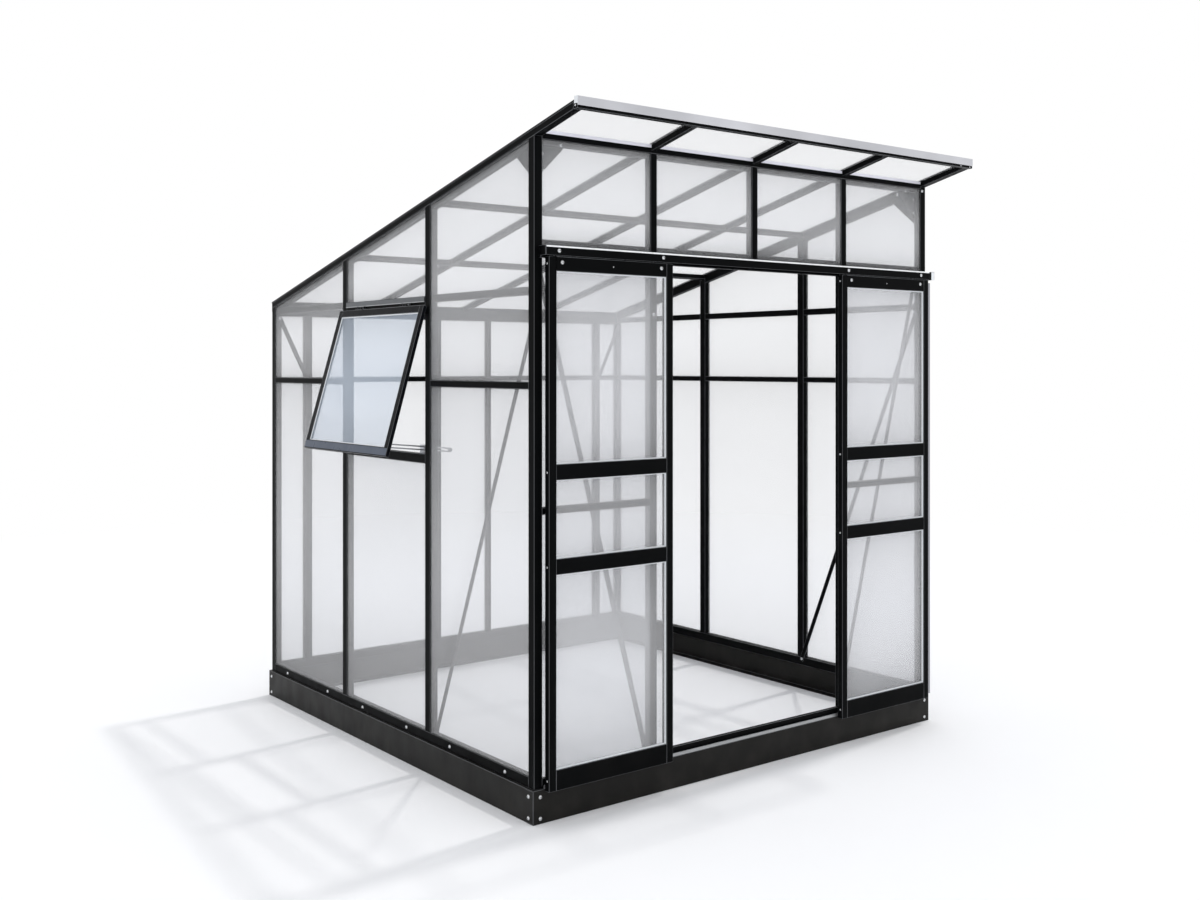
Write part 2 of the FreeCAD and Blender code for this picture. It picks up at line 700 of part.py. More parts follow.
low, width = side_bays["middle"]
window_rails = [tube("window_rail_" + name, ("wall_left", low, level), ("section", width, face), "y", "-x")
                for name, level, face in (("head", "window_head_level", "window_head_face"),
                                          ("sill", "window_sill_level", "window_sill_face"))]
node("window_rails", group("window_rail_pair", slotted(window_rails, left_slots)))

front_rails = [tube("front_rail_%d" % i, (front_bays[i][0], "wall_front", "front_rail_level"),
                    (front_bays[i][1], "section", "front_rail_face"), "x", "-y") for i in (0, 3)]
node("front_side_rails", group("front_rails", slotted(front_rails, front_slots)))

# Roof frame


def inner_lip(name, start, bay):
    """Deeper inner part of an outer rafter. It lies behind the wall's sheets, between two uprights."""
    low, width = bay
    outer = sloped(name + "_outer", start, "-base_depth/4", "-roof_stack - rafter_lip", "lip_face",
                   roof_length, "rafter_lip")
    bore = sloped(name + "_bore", start + " + tube_wall", "-base_depth/4",
                  "-roof_stack - rafter_lip + tube_wall", "lip_face - 2*tube_wall", roof_length,
                  "rafter_lip - tube_wall")
    span = box(name + "_span", (start, low, "0"), ("lip_face", width, "roof_tall"))
    return common(name, cut(name + "_tube", outer, bore), span)


lip_starts = {0: "wall_left + rafter_face - lip_face", 4: "wall_right - rafter_face"}
lip_bays = dict(side_bays, front=("inner_front + gusset_sheet", side_bays["front"][1] + " - gusset_sheet"))
rafter_marks = ["wall_left"] + ["%s - inner_rafter_face/2" % m for m in mullions]
rafter_marks.append("wall_right - rafter_face")
rafter_faces = ["rafter_face"] + ["inner_rafter_face"]*3 + ["rafter_face"]
rafter_span = box("rafter_span", ("left_edge", "rafter_front", "0"),
                  ("base_width", "wall_rear - rafter_front", "roof_tall + base_height"))
rafters = []
for i, start in enumerate(rafter_marks):
    outer = sloped("rafter_outer_%d" % i, start, "-base_depth/4", "-roof_stack", rafter_faces[i],
                   roof_length, "rafter_depth")
    bore = sloped("rafter_bore_%d" % i, start + " + tube_wall", "-base_depth/4", "-roof_stack + tube_wall",
                  rafter_faces[i] + " - 2*tube_wall", roof_length, "rafter_depth - 2*tube_wall")
    rafter = common("rafter_trimmed_%d" % i, cut("rafter_tube_%d" % i, outer, bore), rafter_span)
    if i in (1, 2, 3):
        rafter = cut("rafter_fitted_%d" % i, rafter, group("beams_at_%d" % i, [eave_whole, rear_outer]))
    else:
        lips = [inner_lip("lip_%s_%d" % (name, i), lip_starts[i], bay) for name, bay in lip_bays.items()]
        rafter = fuse("rafter_lipped_%d" % i, [rafter] + lips)
    rafters.append(rafter)
node("rafters", group("rafter_set", rafters))

purlins = []
for row, middle in (("front", "stud_front"), ("rear", "stud_rear")):
    for i in range(4):
        start = rafter_marks[i] + " + " + rafter_faces[i]
        width = "%s - (%s)" % (rafter_marks[i + 1], start)
        along = "(%s - front_edge)/cos(roof_slope) - purlin_face/2" % middle
        outer = sloped("purlin_outer_%s_%d" % (row, i), start, along, "-roof_stack", width, "purlin_face",
                       "rafter_depth")
        bore = sloped("purlin_bore_%s_%d" % (row, i), start, along + " + tube_wall",
                      "-roof_stack + tube_wall", width, "purlin_face - 2*tube_wall",
                      "rafter_depth - 2*tube_wall")
        purlins.append(cut("purlin_%s_%d" % (row, i), outer, bore))
node("purlins", group("purlin_set", purlins))

sheet_run = "rear_edge - rear_trim - roof_front - 2*sheet_play"
sheet_span = box("sheet_span", ("left_edge", "roof_front + sheet_play", "0"),
                 ("base_width", sheet_run, "roof_tall + base_height"))
roof_sheets = []
for i in range(4):
    start_gap = "roof_joint" if i == 0 else "(inner_rafter_face + roof_joint)/2"
    end_gap = "rafter_face - roof_joint" if i == 3 else "(inner_rafter_face - roof_joint)/2"
    start = "%s + %s" % (rafter_marks[i], start_gap)
    width = "%s + %s - (%s)" % (rafter_marks[i + 1], end_gap, start)
    slab = sloped("roof_slab_%d" % i, start, "-base_depth/4", "-(sheet + roof_cap)", width, roof_length,
                  "sheet")
    roof_sheets.append(common("roof_sheet_%d" % i, slab, sheet_span))
node("roof_sheets", group("roof_sheet_set", roof_sheets))

caps = []
for i, start in enumerate(rafter_marks):
    strip = sloped("cap_strip_%d" % i, start, "-base_depth/4", "-roof_cap", rafter_faces[i], roof_length,
                   "roof_cap")
    if i in (0, 4):
        rim = start if i == 0 else "wall_right - (roof_joint - sheet_play)"
        strip = fuse("cap_angle_%d" % i, [strip, sloped(
            "cap_rim_%d" % i, rim, "-base_depth/4", "-(sheet + roof_cap)", "roof_joint - sheet_play",
            roof_length, "sheet + roof_cap")])
    caps.append(common("roof_cap_%d" % i, strip, sheet_span))
node("roof_cap_strips", group("roof_caps", caps))

fascia_back = "fascia_reach - fascia_sheet"
fascia_outline = [("0", "0"), ("fascia_reach", "0"), ("fascia_reach", "fascia_return"),
                  (fascia_back, "fascia_return"), (fascia_back, "fascia_sheet"),
                  ("fascia_sheet", "fascia_sheet"), ("fascia_sheet", "fascia_face"), ("0", "fascia_face")]
fascia_ends = [box("fascia_end_" + side, (start, "roof_front", "fascia_level"),
                   ("fascia_sheet", "fascia_reach", "fascia_face - fascia_reach*roof_fall"))
               for side, start in (("left", "wall_left"), ("right", "wall_right - fascia_sheet"))]
node("roof_fascia", fuse("fascia_closed", [
    profile("fascia", "x", fascia_outline, "wall_right - wall_left",
            ("wall_left", "roof_front", "fascia_level"))] + fascia_ends))

cap_back = "fascia_sheet + fascia_cap_flange"
cap_under = "fascia_cap_face - fascia_sheet"
cap_outline = [("0", "0"), ("fascia_sheet", "0"), ("fascia_sheet", cap_under), (cap_back, cap_under),
               (cap_back, "fascia_cap_face"), ("0", "fascia_cap_face")]
node("fascia_cap", profile("fascia_front", "x", cap_outline, "wall_right - wall_left",
                           ("wall_left", "roof_front - fascia_sheet",
                            "roof_tall + fascia_cap_lift + fascia_sheet - fascia_cap_face")))

node("rear_drip_edge", box("drip_plate", ("wall_left", "wall_rear", "drip_top - drip_edge_face"),
                           ("wall_right - wall_left", "fascia_sheet", "drip_edge_face")))

# Flat braces and gussets on the inner faces

frame_bolts = []


def frame_bolt(name, spot, axis):
    """Bolt head of the fixed frame. The spot is the head's centre on its lower side along the axis."""
    frame_bolts.append(rod("bolt_" + name, spot, axis, "bolt_head_radius", "bolt_head"))


def brace(name, along, plane, bolt_plane, edge, run, high, low, mirrored=False):
    """Flat bar that falls across a bay. Its middle line meets the bay's edges at the two levels."""
    steep = "atan((%s - %s)/(%s))" % (high, low, run)
    reach = "sqrt((%s - %s)^2 + (%s)^2) + 2*brace_lap" % (high, low, run)
    way = "-" if mirrored else "+"
    back = "+" if mirrored else "-"
    across = "%s %s brace_lap*cos(%s) - brace_face/2*sin(%s)" % (edge, back, steep, steep)
    level = "%s + brace_lap*sin(%s) %s brace_face/2*cos(%s)" % (high, steep, back, steep)
    aside = "(brace_lap - brace_face/2)*cos(%s)" % steep
    rise = "(brace_lap - brace_face/2)*sin(%s)" % steep
    marks = [("%s %s %s" % (edge, back, aside), "%s + %s" % (high, rise)),
             ("%s %s (%s) %s %s" % (edge, way, run, way, aside), "%s - %s" % (low, rise))]
    size = ("brace_sheet", reach, "brace_face") if along == "y" else (reach, "brace_sheet", "brace_face")
    bar = box("brace_" + name, ("0", "0", "0"), size)
    turned(bar, (-1, 0, 0) if along == "y" else (0, 1, 0), "180 deg - " + steep if mirrored else steep)
    place(bar, (plane, across, level) if along == "y" else (across, plane, level))
    for i, (where, height) in enumerate(marks):
        spot = (bolt_plane, where, height) if along == "y" else (where, bolt_plane, height)
        frame_bolt("brace_%s_%d" % (name, i), spot, "x" if along == "y" else "y")
    return bar


side_run = "(%s)" % side_bays["front"][1]
front_run = "(%s)" % front_bays[0][1]
rear_run = "(%s)" % rear_bays[0][1]
right_plane = "inner_right - brace_sheet"
rear_plane = "inner_rear - brace_sheet"
braces = [brace("side_left", "y", "inner_left", "inner_left + brace_sheet", "inner_front", side_run,
                "side_brace_top", "side_brace_low"),
          brace("side_right", "y", right_plane, right_plane + " - bolt_head", "inner_front", side_run,
                "side_brace_top", "side_brace_low")]
for side, edge in (("left", "inner_left"), ("right", "inner_right")):
    braces.append(brace("front_" + side, "x", "inner_front", "inner_front + brace_sheet", edge, front_run,
                        "front_brace_top", "front_brace_low", side == "right"))
    braces.append(brace("rear_" + side, "x", rear_plane, rear_plane + " - bolt_head", edge, rear_run,
                        "rear_brace_top", "rear_brace_low", side == "right"))
node("wall_braces", group("brace_set", braces))

# Each gusset is one folded sheet: a plate across the front corner and a wing along the side wall
gussets = []
gusset_edge = [("gusset_leg", "gusset_leg"), ("0", "gusset_leg")]
wing_outline = [("0", "0"), ("gusset_wing_leg", "wing_rise"),
                ("gusset_wing_leg", "wing_rise + gusset_wing_lap"),
                ("0", "gusset_wing_height + gusset_wing_lap")]
wing_bolt = "gusset_wing_leg - gusset_bolt_inset"
for side, start, outline, way in (
        ("left", "inner_left - gusset_lap", [("0", "0")] + gusset_edge, "+"),
        ("right", "inner_right + gusset_lap - gusset_leg", [("gusset_leg", "0")] + gusset_edge, "-")):
    plate = profile("gusset_plate_" + side, "y", outline, "gusset_sheet",
                    (start, "inner_front", "gusset_top - gusset_leg"))
    wing_line = {"left": "wall_left + rafter_face", "right": "wall_right - rafter_face - gusset_sheet"}[side]
    wing = profile("gusset_wing_" + side, "x", wing_outline, "gusset_sheet",
                   (wing_line, "inner_front", "corner_roof - gusset_wing_height"))
    gussets.append(fuse("gusset_" + side, [plate, wing]))
    frame_bolt("gusset_wing_" + side,
               (wing_line + (" + gusset_sheet" if way == "+" else " - bolt_head"), "inner_front + " + wing_bolt,
                "corner_roof - (%s)*roof_fall + gusset_wing_lap/2" % wing_bolt), "x")
    post_line = "inner_%s %s gusset_lap/2" % (side, "-" if way == "+" else "+")
    for name, where, level in (
            ("post_low", post_line, "gusset_top - gusset_bolt_drop - gusset_bolt_pitch"),
            ("post_high", post_line, "gusset_top - gusset_bolt_drop"),
            ("beam", "inner_%s %s (gusset_leg - gusset_lap - gusset_bolt_inset)" % (side, way),
             "gusset_top - bolt_head_radius - screw_head")):
        frame_bolt("gusset_%s_%s" % (side, name), (where, "inner_front + gusset_sheet", level), "y")
node("corner_gussets", group("gusset_set", gussets))

# Track with its hood above the doors

track_back = "track_reach - track_sheet"
track_ceiling = "track_rise - track_sheet"
track_mouth = "track_rise - track_lip"
track_outline = [("track_reach", "0"), ("track_reach", "track_rise"), ("0", "track_rise"),
                 ("0", track_mouth), ("track_sheet", track_mouth), ("track_sheet", track_ceiling),
                 (track_back, track_ceiling), (track_back, "track_sheet"),
                 ("rib_end", "track_sheet"), ("rib_end", "rib_rise"), ("rib_start", "rib_rise"),
                 ("rib_start", "track_sheet"), ("track_reach - track_ledge", "track_sheet"),
                 ("track_reach - track_ledge", "0")]
node("door_track", profile("track", "x", track_outline, "base_width - 2*track_end_gap - 2*track_cap",
                           ("left_edge + track_end_gap + track_cap", "track_front", "track_base")))
end_caps = []
for side, start in (("left", "left_edge + track_end_gap"),
                    ("right", "right_edge - track_end_gap - track_cap")):
    end_caps.append(fuse("track_cap_" + side, [
        box("hood_end_" + side, (start, "track_front", "header_cap_top - track_lip"),
            ("track_cap", "track_reach", "track_lip")),
        box("ledge_end_" + side, (start, "wall_front - track_ledge", "track_base"),
            ("track_cap", "track_ledge", "track_rise"))]))
    for name, inset in (("outer", "track_bolt_inset"), ("inner", "track_bolt_inset + track_bolt_pitch")):
        where = "left_edge + track_end_gap + " if side == "left" else "right_edge - track_end_gap - "
        frame_bolt("track_%s_%s" % (side, name), ("%s(%s)" % (where, inset), "track_front - bolt_head",
                                                  "header_cap_top - track_lip/2"), "y")
node("track_end_caps", group("track_cap_pair", end_caps))

# Bolts along the sills and on the jambs

sill_middle = "base_height + sill_height/2"
for side, face in (("left", "wall_left - bolt_head"), ("right", "wall_right")):
    for bay, (start, width) in side_bays.items():
        for end, inset in (("near", "sill_bolt_inset"), ("far", width + " - sill_bolt_inset")):
            spot = (face, "%s + %s" % (start, inset), sill_middle)
            frame_bolt("sill_%s_%s_%s" % (side, bay, end), spot, "x")
    middle = "-front_bay" if side == "left" else "front_bay"
    frame_bolt("jamb_" + side, (middle, "wall_front - bolt_head", "jamb_bolt_level"), "y")
for i in (1, 2, 3):
    start, width = rear_bays[i]
    frame_bolt("rear_sill_%d" % i, ("%s + (%s)/2" % (start, width), "wall_rear", sill_middle), "y")
node("frame_bolts", group("frame_bolt_set", frame_bolts))

# Sliding doors, drawn slid fully open


def wheel_disc(name, middle, start, radius, length):
    """Disc or round bar on a roller's axis, from a start across the wall."""
    return rod(name, (middle, start, "roller_level"), "y", radius, length)


def roller(name, middle):
    """Grooved wheel that runs on the track's rib. A recess at its back takes the axle's head."""
    rim = "(roller_face - roller_groove_face)/2"
    end = "roller_back + roller_face"
    whole = fuse(name + "_whole", [
        wheel_disc(name + "_core", middle, "roller_back", "roller_groove_radius", "roller_face"),
        wheel_disc(name + "_near_rim", middle, "roller_back", "roller_radius", rim),
        wheel_disc(name + "_far_rim", middle, "%s - %s" % (end, rim), "roller_radius", rim)])
    hollows = group(name + "_hollows", [
        wheel_disc(name + "_bore", middle, "roller_back - roller_play", "axle_radius + axle_play",
                   "roller_face + 2*roller_play"),
        wheel_disc(name + "_recess", middle, end + " - roller_recess", "spacer_radius + roller_play",
                   "2*roller_recess")])
    return cut(name, whole, hollows)


def axle(name, middle):
    """Bolt through a door's hanger, with a spacer behind it and a head in the roller's recess."""
    shank = "axle_head + hanger_sheet + spacer_length + roller_play + roller_face"
    return fuse(name, [
        wheel_disc(name + "_head", middle, "hanger_front - axle_head", "spacer_radius", "axle_head"),
        wheel_disc(name + "_shank", middle, "hanger_front - axle_head", "axle_radius", shank),
        wheel_disc(name + "_spacer", middle, "leaf_back", "spacer_radius", "spacer_length"),
        wheel_disc(name + "_end", middle, "roller_back + roller_face - roller_recess + roller_play",
                   "spacer_radius", "roller_recess - roller_play")])


# Levels of a door's rails and of the sheets between them: name, lower edge, height

LEAF_RAILS = [("bottom", "leaf_bottom", "leaf_bottom_face"),
              ("lower", "lower_rail_level", "leaf_mid_face"),
              ("upper", "upper_rail_level", "leaf_mid_face"),
              ("top", "(leaf_top - leaf_top_face)", "leaf_top_face")]
LEAF_FIELDS = [("above_" + low[0], "%s + %s" % low[1:], "%s - %s - %s" % (high[1], low[1], low[2]))
               for low, high in zip(LEAF_RAILS, LEAF_RAILS[1:])]

for side, start in (("left", "left_leaf"), ("right", "right_leaf")):
    inner = "%s + stile_face" % start
    inner_span = "leaf_width - 2*stile_face"
    fields = [("%s_leaf_%s" % (side, part), (inner, "leaf_front + leaf_sheet_setback", level),
               (inner_span, "sheet", height)) for part, level, height in LEAF_FIELDS]
    slots = group(side + "_leaf_slots", [slot_for(*field, 1) for field in fields])
    sheets = [sheet_for(name + "_sheet", spot, size, 1) for name, spot, size in fields]
    node(side + "_door_sheets", group(side + "_leaf_sheets", sheets))

    axle_lines = ["%s + roller_inset" % start, "%s + leaf_width - roller_inset" % start]
    hangers = [box("%s_hanger_%d" % (side, i),
                   (line + " - hanger_face/2", "hanger_front", "leaf_top - tube_wall"),
                   ("hanger_face", "hanger_sheet", "hanger_rise + tube_wall"))
               for i, line in enumerate(axle_lines)]
    holes = group(side + "_axle_holes", [
        wheel_disc("%s_axle_hole_%d" % (side, i), line, "hanger_front - hanger_sheet",
                   "axle_radius + axle_hole_play", "3*hanger_sheet")
        for i, line in enumerate(axle_lines)])
    pieces = [tube("%s_stile_%s" % (side, end), (where, "leaf_front", "leaf_bottom"),
                   ("stile_face", "leaf_depth", "leaf_height"), "z", "-y", "leaf_nose")
              for end, where in (("near", start), ("far", "%s + leaf_width - stile_face" % start))]
    for part, level, face in LEAF_RAILS:
        rail = tube("%s_rail_%s" % (side, part), (inner, "leaf_front", level),
                    (inner_span, "leaf_depth", face), "x", "-y", "leaf_nose")
        if part == "top":
            rail = cut(rail.Name + "_drilled", fuse(rail.Name + "_hung", [rail] + hangers), holes)
        pieces.append(rail)
    node(side + "_door_frame", group(side + "_leaf_frame", slotted(pieces, slots)))

    fasteners = [axle("%s_axle_%d" % (side, i), line) for i, line in enumerate(axle_lines)]
    for i, line in enumerate(axle_lines):
        spot = (line, "leaf_front - bolt_head", "leaf_top - hanger_bolt_drop")
        fasteners.append(rod("%s_hanger_bolt_%d" % (side, i), spot, "y", "bolt_head_radius", "bolt_head"))
    for end, face in (("near", "%s - screw_head" % start), ("far", "%s + leaf_width" % start)):
        for part, level, height in LEAF_RAILS:
            spot = (face, "leaf_front + leaf_depth/2", "%s + %s/2" % (level, height))
            fasteners.append(rod("%s_screw_%s_%s" % (side, part, end), spot, "x", "screw_head_radius",
                                 "screw_head"))
    node(side + "_door_bolts", group(side + "_leaf_bolts", fasteners))

    guides = []
    for end, where in (("near", "%s + guide_inset" % start),
                       ("far", "%s + leaf_width - guide_inset - guide_length" % start)):
        seat = box("%s_guide_seat_%s" % (side, end), (where, "leaf_back", "guide_seat"),
                   ("guide_length", "guide_reach", "guide_height"))
        tongue = box("%s_guide_tongue_%s" % (side, end),
                     (where, "leaf_back + guide_reach - guide_tongue", "guide_low"),
                     ("guide_length", "guide_tongue", "guide_seat - guide_low + guide_height"))
        guides.append(fuse("%s_guide_%s" % (side, end), [seat, tongue]))
    node(side + "_door_guides", group(side + "_guide_pair", guides))
    node(side + "_roller_near", roller(side + "_roller_a", axle_lines[0]))
    node(side + "_roller_far", roller(side + "_roller_b", axle_lines[1]))

# Top-hung window, drawn standing open


def swung(name, corner, size):
    """Box of the open window, measured from the hinge line before the window is opened."""
    across, start, up = corner
    thing = box(name, ("0", "0", "0"), size)
    turned(thing, (0, 1, 0), "sash_open")
    place(thing, ("hinge_x + (%s)*cos(sash_open) + (%s)*sin(sash_open)" % (across, up), start,
                  "hinge_z - (%s)*sin(sash_open) + (%s)*cos(sash_open)" % (across, up)))
    return thing


def swung_tube(name, corner, size, along):
    """Rectangular tube of the open window."""
    bore_corner = [c if axis == along else "%s + tube_wall" % c for axis, c in zip("xyz", corner)]
    bore_size = [s if axis == along else "%s - 2*tube_wall" % s for axis, s in zip("xyz", size)]
    return cut(name, swung(name + "_outer", corner, size), swung(name + "_bore", bore_corner, bore_size))


outer_face = "-sash_depth/2"
sash_inner = "sash_front + sash_face"
inner_span = "sash_width - 2*sash_face"
foot = "-hinge_drop - sash_height"
field_height = "sash_height - sash_face - sash_foot_face"
bite = "(sheet_bite - sheet_play)"
sheet_face = outer_face + " + sash_sheet_setback"
sash_slot = swung("sash_slot", (sheet_face + " - sheet_play", sash_inner + " - sheet_bite",
                                foot + " + sash_foot_face - sheet_bite"),
                  ("sheet + 2*sheet_play", inner_span + " + 2*sheet_bite", field_height + " + 2*sheet_bite"))
node("sash_sheet", swung("sash_sheet_box", (sheet_face, sash_inner + " - " + bite,
                                            foot + " + sash_foot_face - " + bite),
                         ("sheet", inner_span + " + 2*" + bite, field_height + " + 2*" + bite)))
sash_stile = ("sash_depth", "sash_face", "sash_height")
sash_pieces = [
    swung_tube("sash_stile_near", (outer_face, "sash_front", foot), sash_stile, "z"),
    swung_tube("sash_stile_far", (outer_face, "sash_front + sash_width - sash_face", foot), sash_stile, "z"),
    swung_tube("sash_top_rail", (outer_face, sash_inner, "-hinge_drop - sash_face"),
               ("sash_depth", inner_span, "sash_face"), "y"),
    swung_tube("sash_foot_rail", (outer_face, sash_inner, foot),
               ("sash_depth", inner_span, "sash_foot_face"), "y"),
]
node("window_sash", group("sash_pieces", slotted(sash_pieces, sash_slot)))

# Two hinges: a fixed leaf with two knuckles, a leaf on the window with one, and a pin

fixed_leaves = []
moving_leaves = []
pins = []
knuckle_pitch = "(knuckle_length + knuckle_gap)"
for end, start in (("near", "sash_front + hinge_inset"),
                   ("far", "sash_front + sash_width - hinge_inset - 3*knuckle_length - 2*knuckle_gap")):
    hinge_length = "3*knuckle_length + 2*knuckle_gap"
    bore = rod("hinge_bore_" + end, ("hinge_x", "%s - knuckle_gap" % start, "hinge_z"), "y",
               "hinge_pin_radius + hinge_play", hinge_length + " + 2*knuckle_gap")
    pieces = [box("hinge_plate_" + end, ("wall_left - hinge_plate", start, "window_head_level"),
                  ("hinge_plate", hinge_length, "hinge_plate_height"))]
    for i, where in enumerate((start, "%s + 2*%s" % (start, knuckle_pitch))):
        pieces.append(rod("knuckle_%s_%d" % (end, i), ("hinge_x", where, "hinge_z"), "y", "knuckle_radius",
                          "knuckle_length"))
        pieces.append(box("knuckle_arm_%s_%d" % (end, i),
                          ("hinge_x", where, "hinge_z + knuckle_radius - hinge_plate"),
                          ("wall_left - hinge_x", "knuckle_length", "hinge_plate")))
    fixed_leaves.append(cut("fixed_leaf_" + end, fuse("fixed_leaf_whole_" + end, pieces), bore))
    middle = "%s + %s" % (start, knuckle_pitch)
    moving = fuse("moving_leaf_whole_" + end, [
        rod("moving_knuckle_" + end, ("hinge_x", middle, "hinge_z"), "y", "knuckle_radius", "knuckle_length"),
        swung("moving_web_" + end, ("-hinge_plate/2", middle, "-hinge_drop"),
              ("hinge_plate", "knuckle_length", "hinge_drop - hinge_pin_radius - hinge_play")),
        swung("moving_foot_" + end, ("-hinge_foot/2", start, "-hinge_drop"),
              ("hinge_foot", hinge_length, "hinge_plate"))])
    moving_leaves.append(cut("moving_leaf_" + end, moving, bore))
    pins.append(rod("hinge_pin_" + end, ("hinge_x", start, "hinge_z"), "y", "hinge_pin_radius", hinge_length))
node("window_hinge_leaves", group("fixed_leaves", fixed_leaves))
node("sash_hinge_leaves", group("moving_leaves", moving_leaves))
node("window_hinge_pins", group("hinge_pins", pins))

# Slotted stay: its pivot is on the window, its slot runs over a peg on the sill rail

pivot_across = "stay_radius*sin(stay_angle)"
pivot_up = "-stay_radius*cos(stay_angle)"
pivot_x = "(hinge_x + stay_radius*sin(stay_angle - sash_open))"
pivot_z = "(hinge_z - stay_radius*cos(stay_angle - sash_open))"
peg_x = "(hinge_x + stay_radius*sin(stay_angle + stay_lead))"
peg_z = "(hinge_z - stay_radius*cos(stay_angle + stay_lead))"
stay_fall = "((sash_open - stay_lead)/2 - stay_angle)"
ear_line = "stay_line - stay_side_gap - stay_ear"
ear_low = "window_sill_top + stay_ear_rise - hinge_z"

ear_reach = pivot_across + " + stay_face/2 - sash_depth/2"
ear_height = pivot_up + " + stay_face/2 - (" + ear_low + ")"
node("sash_stay_bracket", fuse("stay_bracket_whole", [
    swung("stay_ear", ("sash_depth/2", ear_line, ear_low), (ear_reach, "stay_ear", ear_height)),
    swung("stay_ear_foot", ("sash_depth/2", ear_line + " - stay_ear_foot + stay_ear", ear_low),
          ("stay_ear", "stay_ear_foot", "stay_face")),
    rod("stay_pivot", (pivot_x, ear_line, pivot_z), "y", "peg_radius",
        "stay_ear + 2*stay_side_gap + stay_sheet + peg_head"),
    rod("stay_pivot_head", (pivot_x, "stay_line + stay_sheet + stay_side_gap", pivot_z), "y",
        "peg_head_radius", "peg_head")]))


def along_stay(name, out, length, height):
    """Box along the stay, from a distance past its pivot."""
    thing = box(name, ("0", "0", "0"), (length, "stay_sheet + 2*stay_side_gap", height))
    turned(thing, (0, 1, 0), stay_fall)
    place(thing, ("%s + (%s)*cos(%s) - (%s)/2*sin(%s)" % (pivot_x, out, stay_fall, height, stay_fall),
                  "stay_line - stay_side_gap",
                  "%s - (%s)*sin(%s) - (%s)/2*cos(%s)" % (pivot_z, out, stay_fall, height, stay_fall)))
    return thing


def across_stay(name, out, radius):
    """Round bar across the stay at a distance past its pivot."""
    spot = ("%s + (%s)*cos(%s)" % (pivot_x, out, stay_fall), "stay_line - stay_side_gap",
            "%s - (%s)*sin(%s)" % (pivot_z, out, stay_fall))
    return rod(name, spot, "y", radius, "stay_sheet + 2*stay_side_gap")


stay_outline = fuse("stay_outline", [along_stay("stay_middle", "0", "stay_reach + stay_end", "stay_face"),
                                     across_stay("stay_near_end", "0", "stay_face/2"),
                                     across_stay("stay_far_end", "stay_reach + stay_end", "stay_face/2")])
stay_slab = box("stay_slab", (pivot_x + " - stay_reach", "stay_line", pivot_z + " - stay_reach"),
                ("3*stay_reach", "stay_sheet", "2*stay_reach"))
stay_hollows = group("stay_hollows", [
    along_stay("stay_slot_middle", "stay_near", "stay_reach - stay_near", "stay_slot"),
    across_stay("stay_slot_near", "stay_near", "stay_slot/2"),
    across_stay("stay_slot_far", "stay_reach", "stay_slot/2"),
    across_stay("stay_hole", "0", "peg_radius + stay_pin_play")])
node("window_stay", cut("stay_slotted", common("stay_bar", stay_outline, stay_slab), stay_hollows))

peg_line = "stay_line + stay_sheet + stay_side_gap"
node("stay_peg", fuse("peg_and_block", [
    box("peg_block_body", (peg_x + " - peg_block/2", peg_line, "window_sill_top"),
        ("peg_block", "peg_block_depth", peg_z + " + peg_block_top - window_sill_top")),
    rod("peg_pin", (peg_x, "stay_line - stay_side_gap", peg_z), "y", "peg_radius",
        "stay_sheet + 2*stay_side_gap + peg_block_depth/2")]))

# Checks and export

doc.recompute()
for thing in doc.Objects:
    if "Invalid" in thing.State or "Error" in thing.State:
        raise RuntimeError("not computed: " + thing.Label)
    if hasattr(thing, "Shape") and thing.TypeId.startswith("Part"):
        if thing.Shape.isNull() or not thing.Shape.isValid():
            raise RuntimeError("bad shape: " + thing.Label)

os.makedirs("parts", exist_ok=True)
for thing in NODES:
    thing.Shape.exportStep("parts/%s.step" % thing.Label)
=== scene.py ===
"""Looks of the lean-to greenhouse, laid out as a Blender add-on and run as a script."""
import json
import math

import bmesh
import bpy
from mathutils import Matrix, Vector


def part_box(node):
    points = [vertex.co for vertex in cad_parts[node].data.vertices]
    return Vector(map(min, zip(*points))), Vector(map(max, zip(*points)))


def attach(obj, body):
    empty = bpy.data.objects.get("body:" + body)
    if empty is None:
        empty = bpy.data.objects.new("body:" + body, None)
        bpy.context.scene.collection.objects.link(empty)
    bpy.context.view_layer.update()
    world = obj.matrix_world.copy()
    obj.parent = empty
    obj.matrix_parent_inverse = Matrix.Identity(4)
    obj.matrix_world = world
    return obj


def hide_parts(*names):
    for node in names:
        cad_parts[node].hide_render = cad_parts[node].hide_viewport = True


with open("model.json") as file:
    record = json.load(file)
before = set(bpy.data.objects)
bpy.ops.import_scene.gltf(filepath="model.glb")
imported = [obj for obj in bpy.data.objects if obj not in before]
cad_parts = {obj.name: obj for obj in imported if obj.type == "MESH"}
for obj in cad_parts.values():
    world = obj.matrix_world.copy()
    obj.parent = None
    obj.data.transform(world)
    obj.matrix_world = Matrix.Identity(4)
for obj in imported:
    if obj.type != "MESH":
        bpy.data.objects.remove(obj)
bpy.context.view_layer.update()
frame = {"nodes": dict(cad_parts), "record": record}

bl_info = {
    "name": "Lean-to Greenhouse",
    "version": (1, 0, 0),
    "blender": (4, 5, 0),
    "location": "View3D > Sidebar > Greenhouse",
    "description": "Dresses the greenhouse frame with sheets, bolts, seals and finishes",
    "category": "Object",
}

BODY = {node: body for body, members in frame["record"]["behaviour"]["bodies"].items() for node in members}
WELD = 0.00001      # Points nearer than this are one point
SMALL = 0.000001    # Slack in comparisons of lengths
UP = Vector((0, 0, 1))
FORWARD = Vector((0, -1, 0))
INSIDE = Vector((0, 0, 1))      # A point inside the greenhouse


def linear(code):
    """Linear colour of a six digit hex code."""
    parts = [int(code[i:i + 2], 16) / 255 for i in (0, 2, 4)]
    return [c / 12.92 if c <= 0.04045 else ((c + 0.055) / 1.055) ** 2.4 for c in parts]


def toned(tone, gain):
    """The colour made brighter or darker."""
    return [min(1.0, c * gain) for c in tone]


